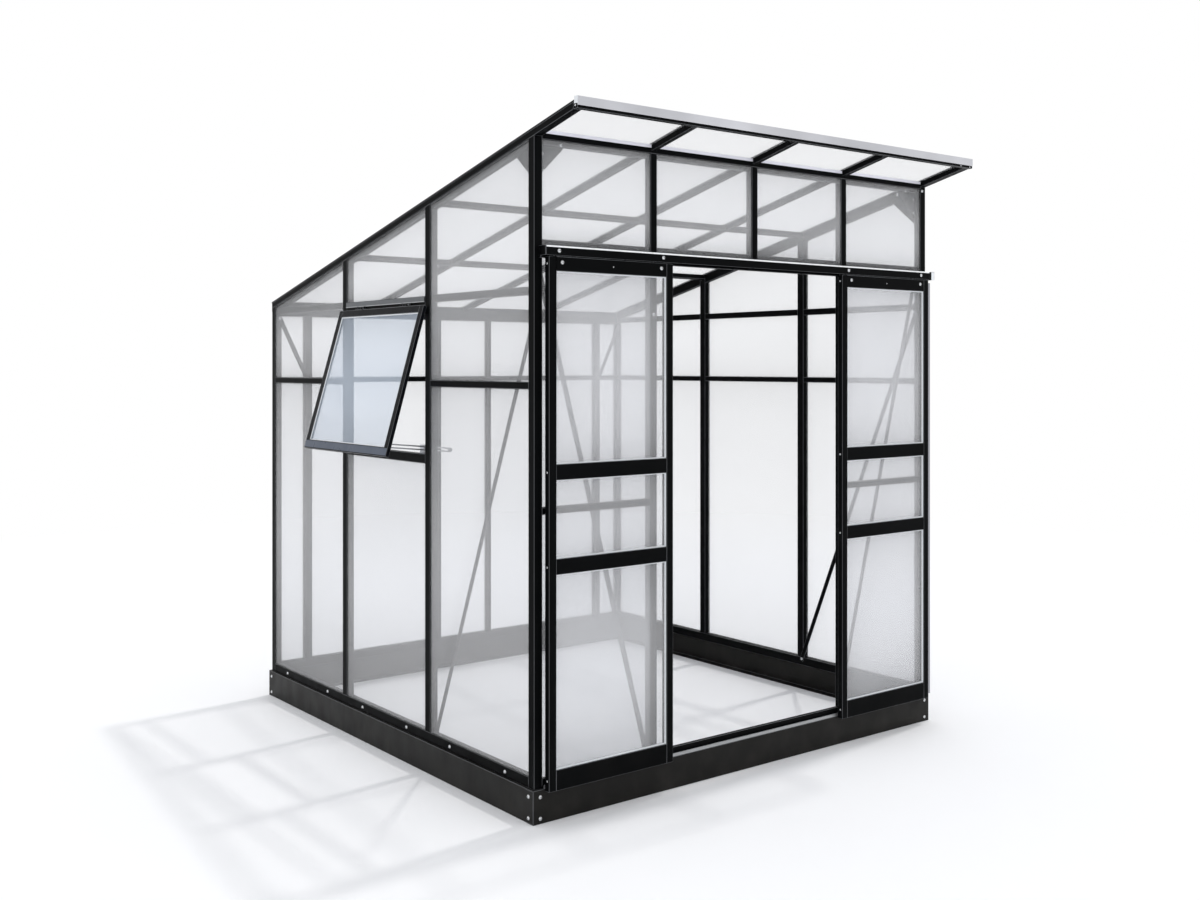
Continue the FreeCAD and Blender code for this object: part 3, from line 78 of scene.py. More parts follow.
# Sizes and colours that can be changed

def colour(label, code, text):
    return bpy.props.FloatVectorProperty(
        name=label, description=text, subtype="COLOR", size=3, min=0, max=1, default=linear(code))


def length(label, default, text):
    return bpy.props.FloatProperty(
        name=label, description=text, default=default, min=0, subtype="DISTANCE", unit="LENGTH",
        precision=4)


def share(label, default, text, most=1.0):
    return bpy.props.FloatProperty(name=label, description=text, default=default, min=0, max=most)


class GreenhouseColours(bpy.types.PropertyGroup):
    frame_black: colour("Frame black", "08090a", "Satin black coat of the frame")
    base_black: colour("Base black", "131210", "Satin black coat of the base rails")
    # Painted highlight: the bevelled edges are coloured lighter than the coat, standing in for light caught
    # by the edges.
    edge_highlight: colour("Coat edge", "484a4d", "Thinner, brighter coat on the edges")
    sash_black: colour("Sash black", "0a0c10", "Satin coat of the window's sash")
    # The bluish tone of the sash's foot is a painted reflection of the sky, laid on as a thin cover.
    sash_foot: colour("Sash foot", "444d5c", "Bluish cover on the foot of the window's sash")
    cap: colour("Fascia cap", "c3c3c7", "Cap of the fascia and the stay's peg")
    seal: colour("Seal", "e6e9ec", "Pale seals, the hood's end cover and the cap's clip")
    gasket: colour("Gasket", "1a1b1c", "Gasket of the wall sheets and plugs of the doors")
    flashing: colour("Flashing", "6a6d70", "Grey flashing above the window")
    sheet_milk: colour("Sheet milk", "f6f6f7", "Haze of the twin-wall sheets")
    # The window's milky haze is real. Its blue tint is a painted reflection of the sky.
    window_haze_and_sky_reflection: colour("Window haze", "e6f0fc", "Haze of the window's sheet")
    zinc: colour("Zinc", "e4e6e8", "Bolts, screws, the hood's bar and the threshold's cover")
    recess: colour("Recess", "2a2b2d", "Shadow in the bolts' drive")
    nylon: colour("Nylon", "d8d6cf", "Rollers and guides")
    # Brightened by half, this colour is also the painted highlight on the bevelled edges of the fascia cap
    # and the stay's peg.
    pale_trim: colour("Pale trim", "c8c8d0", "Closure strips, brush, and edges of the cap and the peg")
    # On the flashing's hem this colour is a painted highlight.
    bare_metal: colour("Bare metal", "a9abae", "Stay, its bracket, hinge pins and the flashing's hem")
    dust: colour("Dust", "8d8880", "Dust that settles on the frame")


class GreenhouseSizes(bpy.types.PropertyGroup):
    flute_pitch: length("Flute pitch", 0.006, "Distance between the webs of a twin-wall sheet")
    flute_rise: length("Flute rise", 0.00004, "Height of the ridge over each web")
    coat_round: length("Edge round", 0.0011, "Round of the frame's edges")
    small_round: length("Small round", 0.0004, "Round of the edges of small fittings")
    groove: length("Groove", 0.0057, "Depth of the grooves that hold the sheets")
    seal_width: length("Seal width", 0.004, "Visible width of the pale seals")
    gasket_width: length("Gasket width", 0.0015, "Visible width of the wall sheets' gasket")
    seal_height: length("Seal height", 0.0024, "Height of the glazing seal above the sheet")
    door_seal_height: length("Door seal height", 0.006, "Height of the doors' glazing seal above the sheet")
    threshold_lip: length("Threshold lip", 0.011, "Height of the threshold's front lip")
    rafter_face: length("Rafter face", 0.020, "Width of an inner rafter")
    sheet_cover: share("Sheet cover", 0.08, "Share of the light that one skin of a sheet holds back")
    window_cover: share("Window cover", 0.27, "Share of the light that one skin of the window holds back")


class GreenhouseStage(bpy.types.PropertyGroup):
    camera_place: bpy.props.FloatVectorProperty(
        name="Camera place", description="Where the camera stands", subtype="TRANSLATION", unit="LENGTH",
        size=3, default=(-3.1696, -4.1762, 1.4013))
    camera_yaw: bpy.props.FloatProperty(
        name="Camera yaw", description="Turn of the level camera to the right", subtype="ANGLE",
        unit="ROTATION", default=math.radians(37.797))
    camera_lens: bpy.props.FloatProperty(
        name="Lens", description="Focal length for a 36 mm wide sensor", subtype="DISTANCE_CAMERA",
        unit="CAMERA", default=38.305)
    camera_drop: bpy.props.FloatProperty(
        name="Shift", description="Drop of the view, as a share of its width", default=0.07043)
    floor: colour("Floor", "f8f8fa", "Colour of the floor")
    floor_radius: length("Floor radius", 30.0, "Radius of the floor")
    world_strength: share("World", 0.95, "Strength of the even studio light", 3)
    lamp_strength: share("Lamp", 0.72, "Strength of the main lamp", 10)
    lamp_spread: bpy.props.FloatProperty(
        name="Lamp spread", description="Softness of the main lamp", subtype="ANGLE", unit="ROTATION",
        default=math.radians(3))
    lamp_height: bpy.props.FloatProperty(
        name="Lamp height", description="Angle of the main lamp above the floor", subtype="ANGLE",
        unit="ROTATION", default=math.radians(66.6))
    lamp_side: bpy.props.FloatProperty(
        name="Lamp side", description="Angle of the main lamp behind the right wall", subtype="ANGLE",
        unit="ROTATION", default=math.radians(5.8))


# Materials

class Finish:
    """A material, and a short way to add nodes to it."""

    def __init__(self, name):
        self.material = bpy.data.materials.new(name)
        self.material.use_nodes = True
        self.tree = self.material.node_tree
        self.tree.nodes.clear()
        self.output = self.tree.nodes.new("ShaderNodeOutputMaterial")

    def add(self, kind, sockets=None, **settings):
        node = self.tree.nodes.new(kind)
        for key, value in settings.items():
            setattr(node, key, value)
        for key, value in (sockets or {}).items():
            if isinstance(value, bpy.types.NodeSocket):
                self.tree.links.new(value, node.inputs[key])
            else:
                node.inputs[key].default_value = value
        return node

    def place(self):
        """Position on the piece, in metres."""
        return self.add("ShaderNodeTexCoord").outputs["Object"]

    def noise(self, size, detail, vector, stretch=None):
        """Noise whose grains are about as large as size, in the vector's unit."""
        if stretch:
            vector = self.add("ShaderNodeMapping", {"Vector": vector, "Scale": stretch}).outputs[0]
        return self.add("ShaderNodeTexNoise", {
            "Vector": vector, "Scale": 1 / size, "Detail": detail}).outputs[0]

    def spread(self, value, low, high, start=0.3, end=0.7):
        """The value, spread from low to high."""
        return self.add("ShaderNodeMapRange", {0: value, 1: start, 2: end, 3: low, 4: high}).outputs[0]

    def maths(self, operation, first, second):
        return self.add("ShaderNodeMath", {0: first, 1: second}, operation=operation).outputs[0]

    def blend(self, amount, first, second):
        """Mix of two colours."""
        return self.add("ShaderNodeMix", {0: amount, 6: rgba(first), 7: rgba(second)},
                        data_type="RGBA").outputs[2]

    def bump(self, height, distance, strength):
        return self.add("ShaderNodeBump", {
            "Height": height, "Distance": distance, "Strength": strength}).outputs[0]

    def surface(self, shader):
        self.tree.links.new(shader, self.output.inputs["Surface"])
        return self.material


def rgba(value):
    """Four numbers from a colour of three. A socket stays a socket."""
    if isinstance(value, bpy.types.NodeSocket):
        return value
    return (*value[:3], 1.0)


def coat(name, tone, dust, gloss, roughness, dust_share=0.10, dust_top=0.5):
    """Satin powder coat with a fine orange peel and rubbed patches. Its dust is thicker near the ground."""
    f = Finish(name)
    position = f.place()
    height = f.add("ShaderNodeSeparateXYZ", {0: position}).outputs[2]
    low = f.spread(height, dust_share, dust_share * 0.25, 0.0, dust_top)
    patches = f.spread(f.noise(0.09, 5.0, position), 0.0, 1.0, 0.42, 0.72)
    film = f.maths("MULTIPLY", low, patches)
    shade = f.blend(f.spread(f.noise(0.35, 2.0, position), 0.0, 1.0), toned(tone, 0.85),
                    toned(tone, 1.2))
    peel = f.noise(0.0016, 2.0, position)
    rubbed = f.spread(f.noise(0.05, 4.0, position, (1, 1, 0.35)), roughness - 0.06, roughness + 0.1)
    shader = f.add("ShaderNodeBsdfPrincipled", {
        "Base Color": f.blend(film, shade, dust), "Roughness": rubbed, "Specular IOR Level": gloss,
        "Normal": f.bump(peel, 0.00006, 0.6)})
    return f.surface(shader.outputs[0])


def metal(name, tone, roughness=0.3, stain=0.75):
    """Plated metal with a fine grain and darker stains."""
    f = Finish(name)
    position = f.place()
    stains = f.spread(f.noise(0.006, 4.0, position), 0.0, 0.6, 0.45, 0.75)
    shader = f.add("ShaderNodeBsdfPrincipled", {
        "Base Color": f.blend(stains, tone, toned(tone, stain)), "Metallic": 0.85,
        "Roughness": f.spread(f.noise(0.004, 3.0, position), roughness - 0.06, roughness + 0.1),
        "Normal": f.bump(f.noise(0.0008, 2.0, position), 0.00004, 0.5)})
    return f.surface(shader.outputs[0])


def plastic(name, tone, roughness=0.45, speck=0.003):
    """Moulded plastic or rubber with a dull, slightly uneven skin."""
    f = Finish(name)
    position = f.place()
    uneven = f.spread(f.noise(speck, 4.0, position), 0.0, 1.0)
    shader = f.add("ShaderNodeBsdfPrincipled", {
        "Base Color": f.blend(uneven, toned(tone, 0.88), tone), "Specular IOR Level": 0.35,
        "Roughness": f.spread(f.noise(0.02, 3.0, position), roughness - 0.08, roughness + 0.08),
        "Normal": f.bump(f.noise(speck * 0.3, 2.0, position), 0.00005, 0.6)})
    return f.surface(shader.outputs[0])


def twin_wall(name, tone, cover, web_gain=2.2):
    """Milky sheet of clear plastic: each skin lets most light through, and its webs hold back more."""
    glow, shade = 0.35, 0.95
    f = Finish(name)
    sheet = f.add("ShaderNodeUVMap", uv_map="flutes").outputs[0]
    across = f.add("ShaderNodeSeparateXYZ", {0: sheet}).outputs[0]
    off_web = f.maths("PINGPONG", across, 0.5)
    web = f.add("ShaderNodeMapRange", {0: off_web, 1: 0.02, 2: 0.2, 3: 1.0, 4: 0.0},
                interpolation_type="SMOOTHSTEP").outputs[0]
    streak = f.noise(4.0, 3.0, sheet, (1, 0.06, 1))
    rib_tone = f.spread(f.noise(1.3, 2.0, sheet, (1, 0.5, 1)), 0.7, 1.35, 0.32, 0.68)
    broad = f.maths("MULTIPLY", f.spread(streak, cover * 0.78, cover * 1.12, 0.3, 0.7), rib_tone)
    haze = f.add("ShaderNodeMath", {0: web, 1: cover * web_gain, 2: broad},
                 operation="MULTIPLY_ADD").outputs[0]
    ripple = f.add("ShaderNodeMath", {0: web, 1: 0.6, 2: f.noise(0.4, 2.0, sheet, (1, 3, 1))},
                   operation="MULTIPLY_ADD").outputs[0]
    skin = f.add("ShaderNodeBsdfPrincipled", {
        "Base Color": (*tone, 1), "Roughness": f.spread(streak, 0.26, 0.4), "Specular IOR Level": 0.5,
        "Normal": f.bump(ripple, 0.0003, 0.35)})
    through = f.add("ShaderNodeBsdfTranslucent", {"Color": (*tone, 1)})
    milk = f.add("ShaderNodeMixShader", {0: glow, 1: skin.outputs[0], 2: through.outputs[0]})
    clear = f.add("ShaderNodeBsdfTransparent", {"Color": (0.985, 0.988, 0.994, 1)})
    seen = f.add("ShaderNodeMixShader", {0: haze, 1: clear.outputs[0], 2: milk.outputs[0]})
    thin = f.add("ShaderNodeBsdfTransparent", {"Color": (shade, shade, shade, 1)})
    in_shade = f.add("ShaderNodeLightPath").outputs["Is Shadow Ray"]
    return f.surface(f.add("ShaderNodeMixShader", {
        0: in_shade, 1: seen.outputs[0], 2: thin.outputs[0]}).outputs[0])


# Meshes

def solids(node):
    """Each separate solid of a CAD node, with the outline of its largest face, the outer one of a pair."""
    whole = bmesh.new()
    whole.from_mesh(frame["nodes"][node].data)
    bmesh.ops.remove_doubles(whole, verts=whole.verts, dist=WELD)
    bmesh.ops.dissolve_limit(whole, angle_limit=math.radians(0.5), verts=whole.verts, edges=whole.edges)
    found, seen = [], set()
    for start in whole.verts:
        if start in seen:
            continue
        group, todo = [], [start]
        seen.add(start)
        while todo:
            vertex = todo.pop()
            group.append(vertex)
            for edge in vertex.link_edges:
                other = edge.other_vert(vertex)
                if other not in seen:
                    seen.add(other)
                    todo.append(other)
        faces = {face for vertex in group for face in vertex.link_faces}
        largest = max(faces, key=lambda face: (
            round(face.calc_area(), 4), face.normal.dot(face.calc_center_median() - INSIDE)))
        found.append({"points": [v.co.copy() for v in group], "normal": largest.normal.copy(),
                      "outline": [v.co.copy() for v in largest.verts]})
    whole.free()
    return found


def middle(points):
    low = Vector([min(p[i] for p in points) for i in range(3)])
    high = Vector([max(p[i] for p in points) for i in range(3)])
    return (low + high) / 2, high - low


def piece(name, mesh, materials, body, replaced=()):
    """Makes a piece from a mesh in the making, gives it its finish and puts it on its body."""
    data = bpy.data.meshes.new(name)
    bmesh.ops.recalc_face_normals(mesh, faces=mesh.faces)
    mesh.to_mesh(data)
    mesh.free()
    made = bpy.data.objects.new(name, data)
    bpy.context.scene.collection.objects.link(made)
    for material in materials:
        data.materials.append(material)
    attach(made, body)
    if replaced:
        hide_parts(*replaced)


def dress(node, material, edge, width):
    """Gives a CAD node its finish, with rounded edges in a second finish. A brighter second finish is a
    painted highlight along the edges.
    """
    solid = frame["nodes"][node]
    solid.data.materials.clear()
    solid.data.materials.append(material)
    solid.data.materials.append(edge)
    weld = solid.modifiers.new("weld", "WELD")
    weld.merge_threshold = WELD
    flat = solid.modifiers.new("flat", "DECIMATE")
    flat.decimate_type = "DISSOLVE"
    flat.angle_limit = math.radians(1)
    rounded = solid.modifiers.new("round", "BEVEL")
    rounded.width = width
    rounded.segments = 2
    rounded.limit_method = "ANGLE"
    rounded.angle_limit = math.radians(40)
    rounded.use_clamp_overlap = False
    rounded.harden_normals = False
    rounded.material = 1


def panel_axes(solid):
    """Directions across and along the flutes of a sheet, and outward, with the sheet's thickness."""
    outward = solid["normal"]
    across = UP.cross(outward).normalized()
    along = outward.cross(across).normalized()
    depths = [p.dot(outward) for p in solid["points"]]
    return across, along, outward, max(depths), max(depths) - min(depths)


def span_at(corners, where):
    """Lowest and highest point of a flat outline at a place across it."""
    hits = []
    for (u0, v0), (u1, v1) in zip(corners, corners[1:] + corners[:1]):
        if min(u0, u1) - SMALL <= where <= max(u0, u1) + SMALL:
            if abs(u1 - u0) < SMALL:
                hits += [v0, v1]
            else:
                hits.append(v0 + (v1 - v0) * min(1.0, max(0.0, (where - u0) / (u1 - u0))))
    return min(hits), max(hits)


def fluted_sheet(mesh, solid, pitch, rise):
    """Adds a sheet with a low ridge over each web, on both faces."""
    across, along, outward, level, thickness = panel_axes(solid)
    corners = [(p.dot(across), p.dot(along)) for p in solid["outline"]]
    first, last = min(u for u, v in corners), max(u for u, v in corners)
    stops = {u: 0.0 for u, v in corners}
    count = int((last - first) / pitch)
    start = first + (last - first - (count - 1) * pitch) / 2
    flank = pitch / 6
    for i in range(count):
        web = start + i * pitch
        for offset, height in ((-flank, 0.0), (0.0, rise), (flank, 0.0)):
            if first + SMALL < web + offset < last - SMALL:
                stops[web + offset] = height
    flutes = mesh.loops.layers.uv.verify()
    rows = []
    for u in sorted(stops):
        low, high = span_at(corners, u)
        front = level - rise + stops[u]
        back = level - thickness + rise - stops[u]
        rows.append([(mesh.verts.new(across * u + along * v + outward * w), (u - start) / pitch, v)
                     for v, w in ((low, front), (high, front), (high, back), (low, back))])
    for one, two in zip(rows, rows[1:]):
        for i in range(4):
            j = (i + 1) % 4
            face_of(mesh, flutes, (one[i], one[j], two[j], two[i]), i in (0, 2))
    face_of(mesh, flutes, rows[0], False)
    face_of(mesh, flutes, rows[-1], False)


def face_of(mesh, flutes, corners, smooth):
    face = mesh.faces.new([c[0] for c in corners])
    face.smooth = smooth
    for loop, corner in zip(face.loops, corners):
        loop[flutes].uv = corner[1:]


def inset(corners, distance):
    """A flat outline moved inward by the same distance on all sides."""
    area = sum(a[0] * b[1] - b[0] * a[1] for a, b in zip(corners, corners[1:] + corners[:1]))
    turn = 1 if area > 0 else -1
    lines = []
    for a, b in zip(corners, corners[1:] + corners[:1]):
        run = Vector((b[0] - a[0], b[1] - a[1])).normalized()
        aside = Vector((-run.y, run.x)) * turn
        lines.append((Vector(a) + aside * distance, run))
    moved = []
    for (p, d), (q, e) in zip([lines[-1]] + lines[:-1], lines):
        cross = d.x * e.y - d.y * e.x
        moved.append(p + d * (((q - p).x * e.y - (q - p).y * e.x) / cross))
    return moved


def seal_ring(mesh, solid, start, width, height, facing):
    """Adds the seal that runs round the visible edge of a sheet."""
    across, along, outward, level, thickness = panel_axes(solid)
    corners = [(p.dot(across), p.dot(along)) for p in solid["outline"]]
    if facing < 0:
        level -= thickness
    profile = ((0.0, 0.0), (0.0, 0.8), (0.12, 1.0), (0.55, 1.0), (0.9, 0.6), (1.0, 0.0))
    rings = []
    for aside, rise in profile:
        ring = inset(corners, start + aside * width)
        rings.append([mesh.verts.new(across * u + along * v + outward * (level + facing * rise * height))
                      for u, v in ring])
    for one, two in zip(rings, rings[1:] + rings[:1]):
        for i in range(len(one)):
            j = (i + 1) % len(one)
            mesh.faces.new((one[i], one[j], two[j], two[i]))


def lathe(mesh, spot, way, profile, hexes=(), marks=()):
    """Adds a turned shape. The profile gives distance from the axis and height along it."""
    segments = 24
    way = way.normalized()
    side = way.orthogonal().normalized()
    other = way.cross(side)
    rings = []
    for k, (radius, height) in enumerate(profile):
        if radius < SMALL:
            rings.append([mesh.verts.new(spot + way * height)])
            continue
        ring = []
        for i in range(segments):
            angle = 2 * math.pi * i / segments
            reach = radius
            if k in hexes:
                reach = radius / math.cos((angle % (math.pi / 3)) - math.pi / 6)
            ring.append(mesh.verts.new(spot + way * height
                                       + (side * math.cos(angle) + other * math.sin(angle)) * reach))
        rings.append(ring)
    for k, (one, two) in enumerate(zip(rings, rings[1:])):
        for i in range(segments):
            j = (i + 1) % segments
            corners = [one[i % len(one)], one[j % len(one)], two[j % len(two)], two[i % len(two)]]
            corners = [c for n, c in enumerate(corners) if c not in corners[:n]]
            face = mesh.faces.new(corners)
            face.smooth = True
            face.material_index = 1 if k in marks else 0


def domed_head(mesh, spot, way, radius, height):
    """Adds a washer and a domed head with a hexagon recess."""
    profile = [(0.0, 0.0), (1.0, 0.0), (1.0, 0.18), (0.96, 0.24), (0.80, 0.25), (0.79, 0.34),
               (0.76, 0.52), (0.66, 0.78), (0.52, 0.94), (0.40, 1.0), (0.33, 0.98), (0.31, 0.90),
               (0.30, 0.42), (0.0, 0.36)]
    # The recess faces take the second finish, a painted shadow in the drive.
    lathe(mesh, spot, way, [(r * radius, h * height) for r, h in profile], hexes=(10, 11, 12),
          marks=(11, 12))


def flat_screw(mesh, spot, way, radius, height):
    """Adds a low screw head with a shallow round recess."""
    profile = [(0.0, 0.0), (1.0, 0.0), (0.97, 0.45), (0.80, 0.85), (0.55, 1.0), (0.36, 0.98), (0.30, 0.4),
               (0.0, 0.3)]
    # The recess faces take the second finish, a painted shadow in the drive.
    lathe(mesh, spot, way, [(r * radius, h * height) for r, h in profile], hexes=(5, 6), marks=(5, 6))


def block(mesh, low, high, bevel):
    """Adds a block with rounded edges."""
    made = bmesh.ops.create_cube(mesh, size=1)["verts"]
    size = [b - a for a, b in zip(low, high)]
    centre = [(a + b) / 2 for a, b in zip(low, high)]
    bmesh.ops.scale(mesh, vec=size, verts=made)
    bmesh.ops.translate(mesh, vec=centre, verts=made)
    edges = list(dict.fromkeys(edge for vertex in made for edge in vertex.link_edges))
    bmesh.ops.bevel(mesh, geom=edges, offset=bevel, segments=2, profile=0.5, affect="EDGES",
                    clamp_overlap=True)


# Pieces

FRAME_SLOT = "black_frame"
BASE_NODES = ("base_rail_front", "base_rail_rear", "base_rail_left", "base_rail_right",
              "base_corner_angles")
SHEET_NODES = dict.fromkeys(("side_wall_sheets", "rear_wall_sheets", "front_wall_sheets", "roof_sheets",
                             "left_door_sheets", "right_door_sheets"), "twin_wall_sheet")
SHEET_NODES["sash_sheet"] = "window_sheet"
BOLT_NODES = ("frame_bolts", "base_corner_bolts")
DOOR_BOLTS = {"left_door_bolts": "left_door", "right_door_bolts": "right_door"}
NYLON_NODES = ("left_roller_near", "left_roller_far", "right_roller_near", "right_roller_far",
               "left_door_guides", "right_door_guides")
PALE_NODES = ("fascia_cap", "stay_peg")
SASH_NODES = ("window_sash",)
METAL_NODES = ("window_stay", "sash_stay_bracket", "window_hinge_pins")


def slot_of(node):
    """Material slot that the record gives to a CAD node."""
    return frame["nodes"][node].data.materials[0].name


class GREENHOUSE_OT_stage(bpy.types.Operator):
    """Adds the floor, the lamp, the even light and the camera"""
    bl_idname = "greenhouse.stage"
    bl_label = "Stage"

    def execute(self, context):
        scene = context.scene
        stage = scene.greenhouse_stage
        scene.view_settings.view_transform = "Standard"
        self.light(scene, stage)
        self.floor(scene, stage)
        camera = bpy.data.cameras.new("camera")
        camera.lens = stage.camera_lens
        camera.sensor_width = 36
        camera.sensor_fit = "HORIZONTAL"
        camera.shift_y = -stage.camera_drop
        camera.clip_end = 200
        holder = bpy.data.objects.new("camera", camera)
        holder.location = stage.camera_place
        holder.rotation_euler = (math.radians(90), 0, -stage.camera_yaw)
        scene.collection.objects.link(holder)
        scene.camera = holder
        return {"FINISHED"}

    def light(self, scene, stage):
        world = bpy.data.worlds.new("studio")
        world.use_nodes = True
        nodes, links = world.node_tree.nodes, world.node_tree.links
        nodes.clear()
        out = nodes.new("ShaderNodeOutputWorld")
        path = nodes.new("ShaderNodeLightPath")
        seen = path.outputs["Is Camera Ray"]
        for kind in ("Is Glossy Ray", "Is Transmission Ray"):
            larger = nodes.new("ShaderNodeMath")
            larger.operation = "MAXIMUM"
            links.new(seen, larger.inputs[0])
            links.new(path.outputs[kind], larger.inputs[1])
            seen = larger.outputs[0]
        lit = nodes.new("ShaderNodeBackground")
        lit.inputs["Color"].default_value = (0.97, 0.985, 1.0, 1)
        lit.inputs["Strength"].default_value = stage.world_strength
        plain = nodes.new("ShaderNodeBackground")
        plain.inputs["Color"].default_value = (1, 1, 1, 1)
        plain.inputs["Strength"].default_value = 1.0
        mix = nodes.new("ShaderNodeMixShader")
        links.new(seen, mix.inputs[0])
        links.new(lit.outputs[0], mix.inputs[1])
        links.new(plain.outputs[0], mix.inputs[2])
        links.new(mix.outputs[0], out.inputs["Surface"])
        scene.world = world
        lamp = bpy.data.lights.new("lamp", "SUN")
        lamp.energy = stage.lamp_strength
        lamp.angle = stage.lamp_spread
        lamp.color = (1.0, 0.985, 0.96)
        holder = bpy.data.objects.new("lamp", lamp)
        flat = math.cos(stage.lamp_height)
        toward = Vector((flat * math.cos(stage.lamp_side), flat * math.sin(stage.lamp_side),
                         math.sin(stage.lamp_height)))
        holder.rotation_euler = toward.to_track_quat("Z", "Y").to_euler()
        holder.location = toward * 6
        scene.collection.objects.link(holder)

    def floor(self, scene, stage):
        mesh = bmesh.new()
        bmesh.ops.create_circle(mesh, cap_ends=True, radius=stage.floor_radius, segments=96)
        data = bpy.data.meshes.new("floor")
        mesh.to_mesh(data)
        mesh.free()
        floor = bpy.data.objects.new("floor", data)
        scene.collection.objects.link(floor)
        f = Finish("studio_floor")
        position = f.place()
        away = f.add("ShaderNodeVectorMath", {0: position}, operation="LENGTH").outputs["Value"]
        fade = f.spread(away, 0.0, 1.0, 3.2, 7.0)
        seen = f.add("ShaderNodeLightPath").outputs["Is Camera Ray"]
        matt = f.add("ShaderNodeBsdfPrincipled", {
            "Base Color": (*stage.floor, 1), "Specular IOR Level": 0.1,
            "Roughness": f.spread(f.noise(0.2, 3.0, position), 0.6, 0.75)})
        white = f.add("ShaderNodeEmission", {"Color": (1, 1, 1, 1), "Strength": 1.0})
        data.materials.append(f.surface(f.add("ShaderNodeMixShader", {
            0: f.maths("MULTIPLY", fade, seen), 1: matt.outputs[0], 2: white.outputs[0]}).outputs[0]))


class GREENHOUSE_OT_coats(bpy.types.Operator):
    """Gives the black frame, the base, the metal fittings and the nylon parts their finishes"""
    bl_idname = "greenhouse.coats"
    bl_label = "Coats"

    def execute(self, context):
        tones, sizes = context.scene.greenhouse_colours, context.scene.greenhouse_sizes
        black = coat("black_coat", tones.frame_black, tones.dust, 0.025, 0.36, 0.008)
        # Painted highlight: a brighter copy of the coat on the bevelled edges of the frame, the base and
        # the sash.
        edge = coat("black_coat_edge_highlight", tones.edge_highlight, tones.dust, 0.4, 0.3)
        sash = coat("sash_coat", tones.sash_black, tones.dust, 0.05, 0.3, 0.01)
        base = coat("base_coat", tones.base_black, tones.dust, 0.14, 0.38, 0.04, 0.12)
        trim = coat("pale_coat", tones.cap, tones.dust, 0.4, 0.4)
        # Painted highlight: a brighter pale copy on the bevelled edges of the cap and the peg.
        trim_edge_highlight = coat("pale_coat_edge_highlight", toned(tones.pale_trim, 1.5), tones.dust, 0.5, 0.34)
        zinc = metal("zinc_plate", tones.zinc)
        bare = metal("bare_metal_plate", tones.bare_metal, 0.36)
        nylon = plastic("nylon_skin", tones.nylon)
        for node in frame["nodes"]:
            if node in SHEET_NODES or node in BOLT_NODES or node in DOOR_BOLTS:
                continue
            if node in BASE_NODES:
                dress(node, base, edge, sizes.coat_round * 1.4)
            elif node in SASH_NODES:
                dress(node, sash, edge, sizes.coat_round)
            elif node in PALE_NODES:
                dress(node, trim, trim_edge_highlight, sizes.small_round)
            elif node in NYLON_NODES:
                dress(node, nylon, nylon, sizes.small_round)
            elif node in METAL_NODES:
                dress(node, bare, bare, sizes.small_round * 0.5)
            elif slot_of(node) == FRAME_SLOT:
                dress(node, black, edge, sizes.coat_round)
            else:
                dress(node, zinc, zinc, sizes.small_round)
        return {"FINISHED"}


class GREENHOUSE_OT_sheets(bpy.types.Operator):
    """Adds the fluted twin-wall sheets in place of the plain ones"""
    bl_idname = "greenhouse.sheets"
    bl_label = "Twin-wall sheets"

    def execute(self, context):
        tones, sizes = context.scene.greenhouse_colours, context.scene.greenhouse_sizes
        milk = twin_wall("twin_wall_milk", tones.sheet_milk, sizes.sheet_cover)
        # The window's haze carries a blue tint that is a painted sky reflection.
        window = twin_wall("window_haze_and_sky_reflection", tones.window_haze_and_sky_reflection, sizes.window_cover, 0.3)
        for node, slot in SHEET_NODES.items():
            mesh = bmesh.new()
            for solid in solids(node):
                fluted_sheet(mesh, solid, sizes.flute_pitch, sizes.flute_rise)
            piece(node + "_fluted", mesh, [window if slot == "window_sheet" else milk], BODY[node],
                  [node])
        return {"FINISHED"}


class GREENHOUSE_OT_seals(bpy.types.Operator):
    """Adds the pale seal round each door and window sheet, and the dark gasket of the wall sheets"""
    bl_idname = "greenhouse.seals"
    bl_label = "Glazing seals"

    def execute(self, context):
        tones, sizes = context.scene.greenhouse_colours, context.scene.greenhouse_sizes
        strip = plastic("glazing_seal", tones.seal, 0.5, 0.002)
        rubber = plastic("rubber_gasket", tones.gasket, 0.6, 0.002)
        for node in SHEET_NODES:
            if node == "roof_sheets":
                continue
            pale = not node.endswith("wall_sheets")
            width = sizes.seal_width if pale else sizes.gasket_width
            height = sizes.door_seal_height if node.endswith("door_sheets") else sizes.seal_height
            mesh = bmesh.new()
            for solid in solids(node):
                spot = middle(solid["points"])[0]
                facing = 1 if solid["normal"].dot(spot - INSIDE) > 0 else -1
                seal_ring(mesh, solid, sizes.groove, width, height, facing)
            piece(node + "_seals", mesh, [strip if pale else rubber], BODY[node])
        return {"FINISHED"}


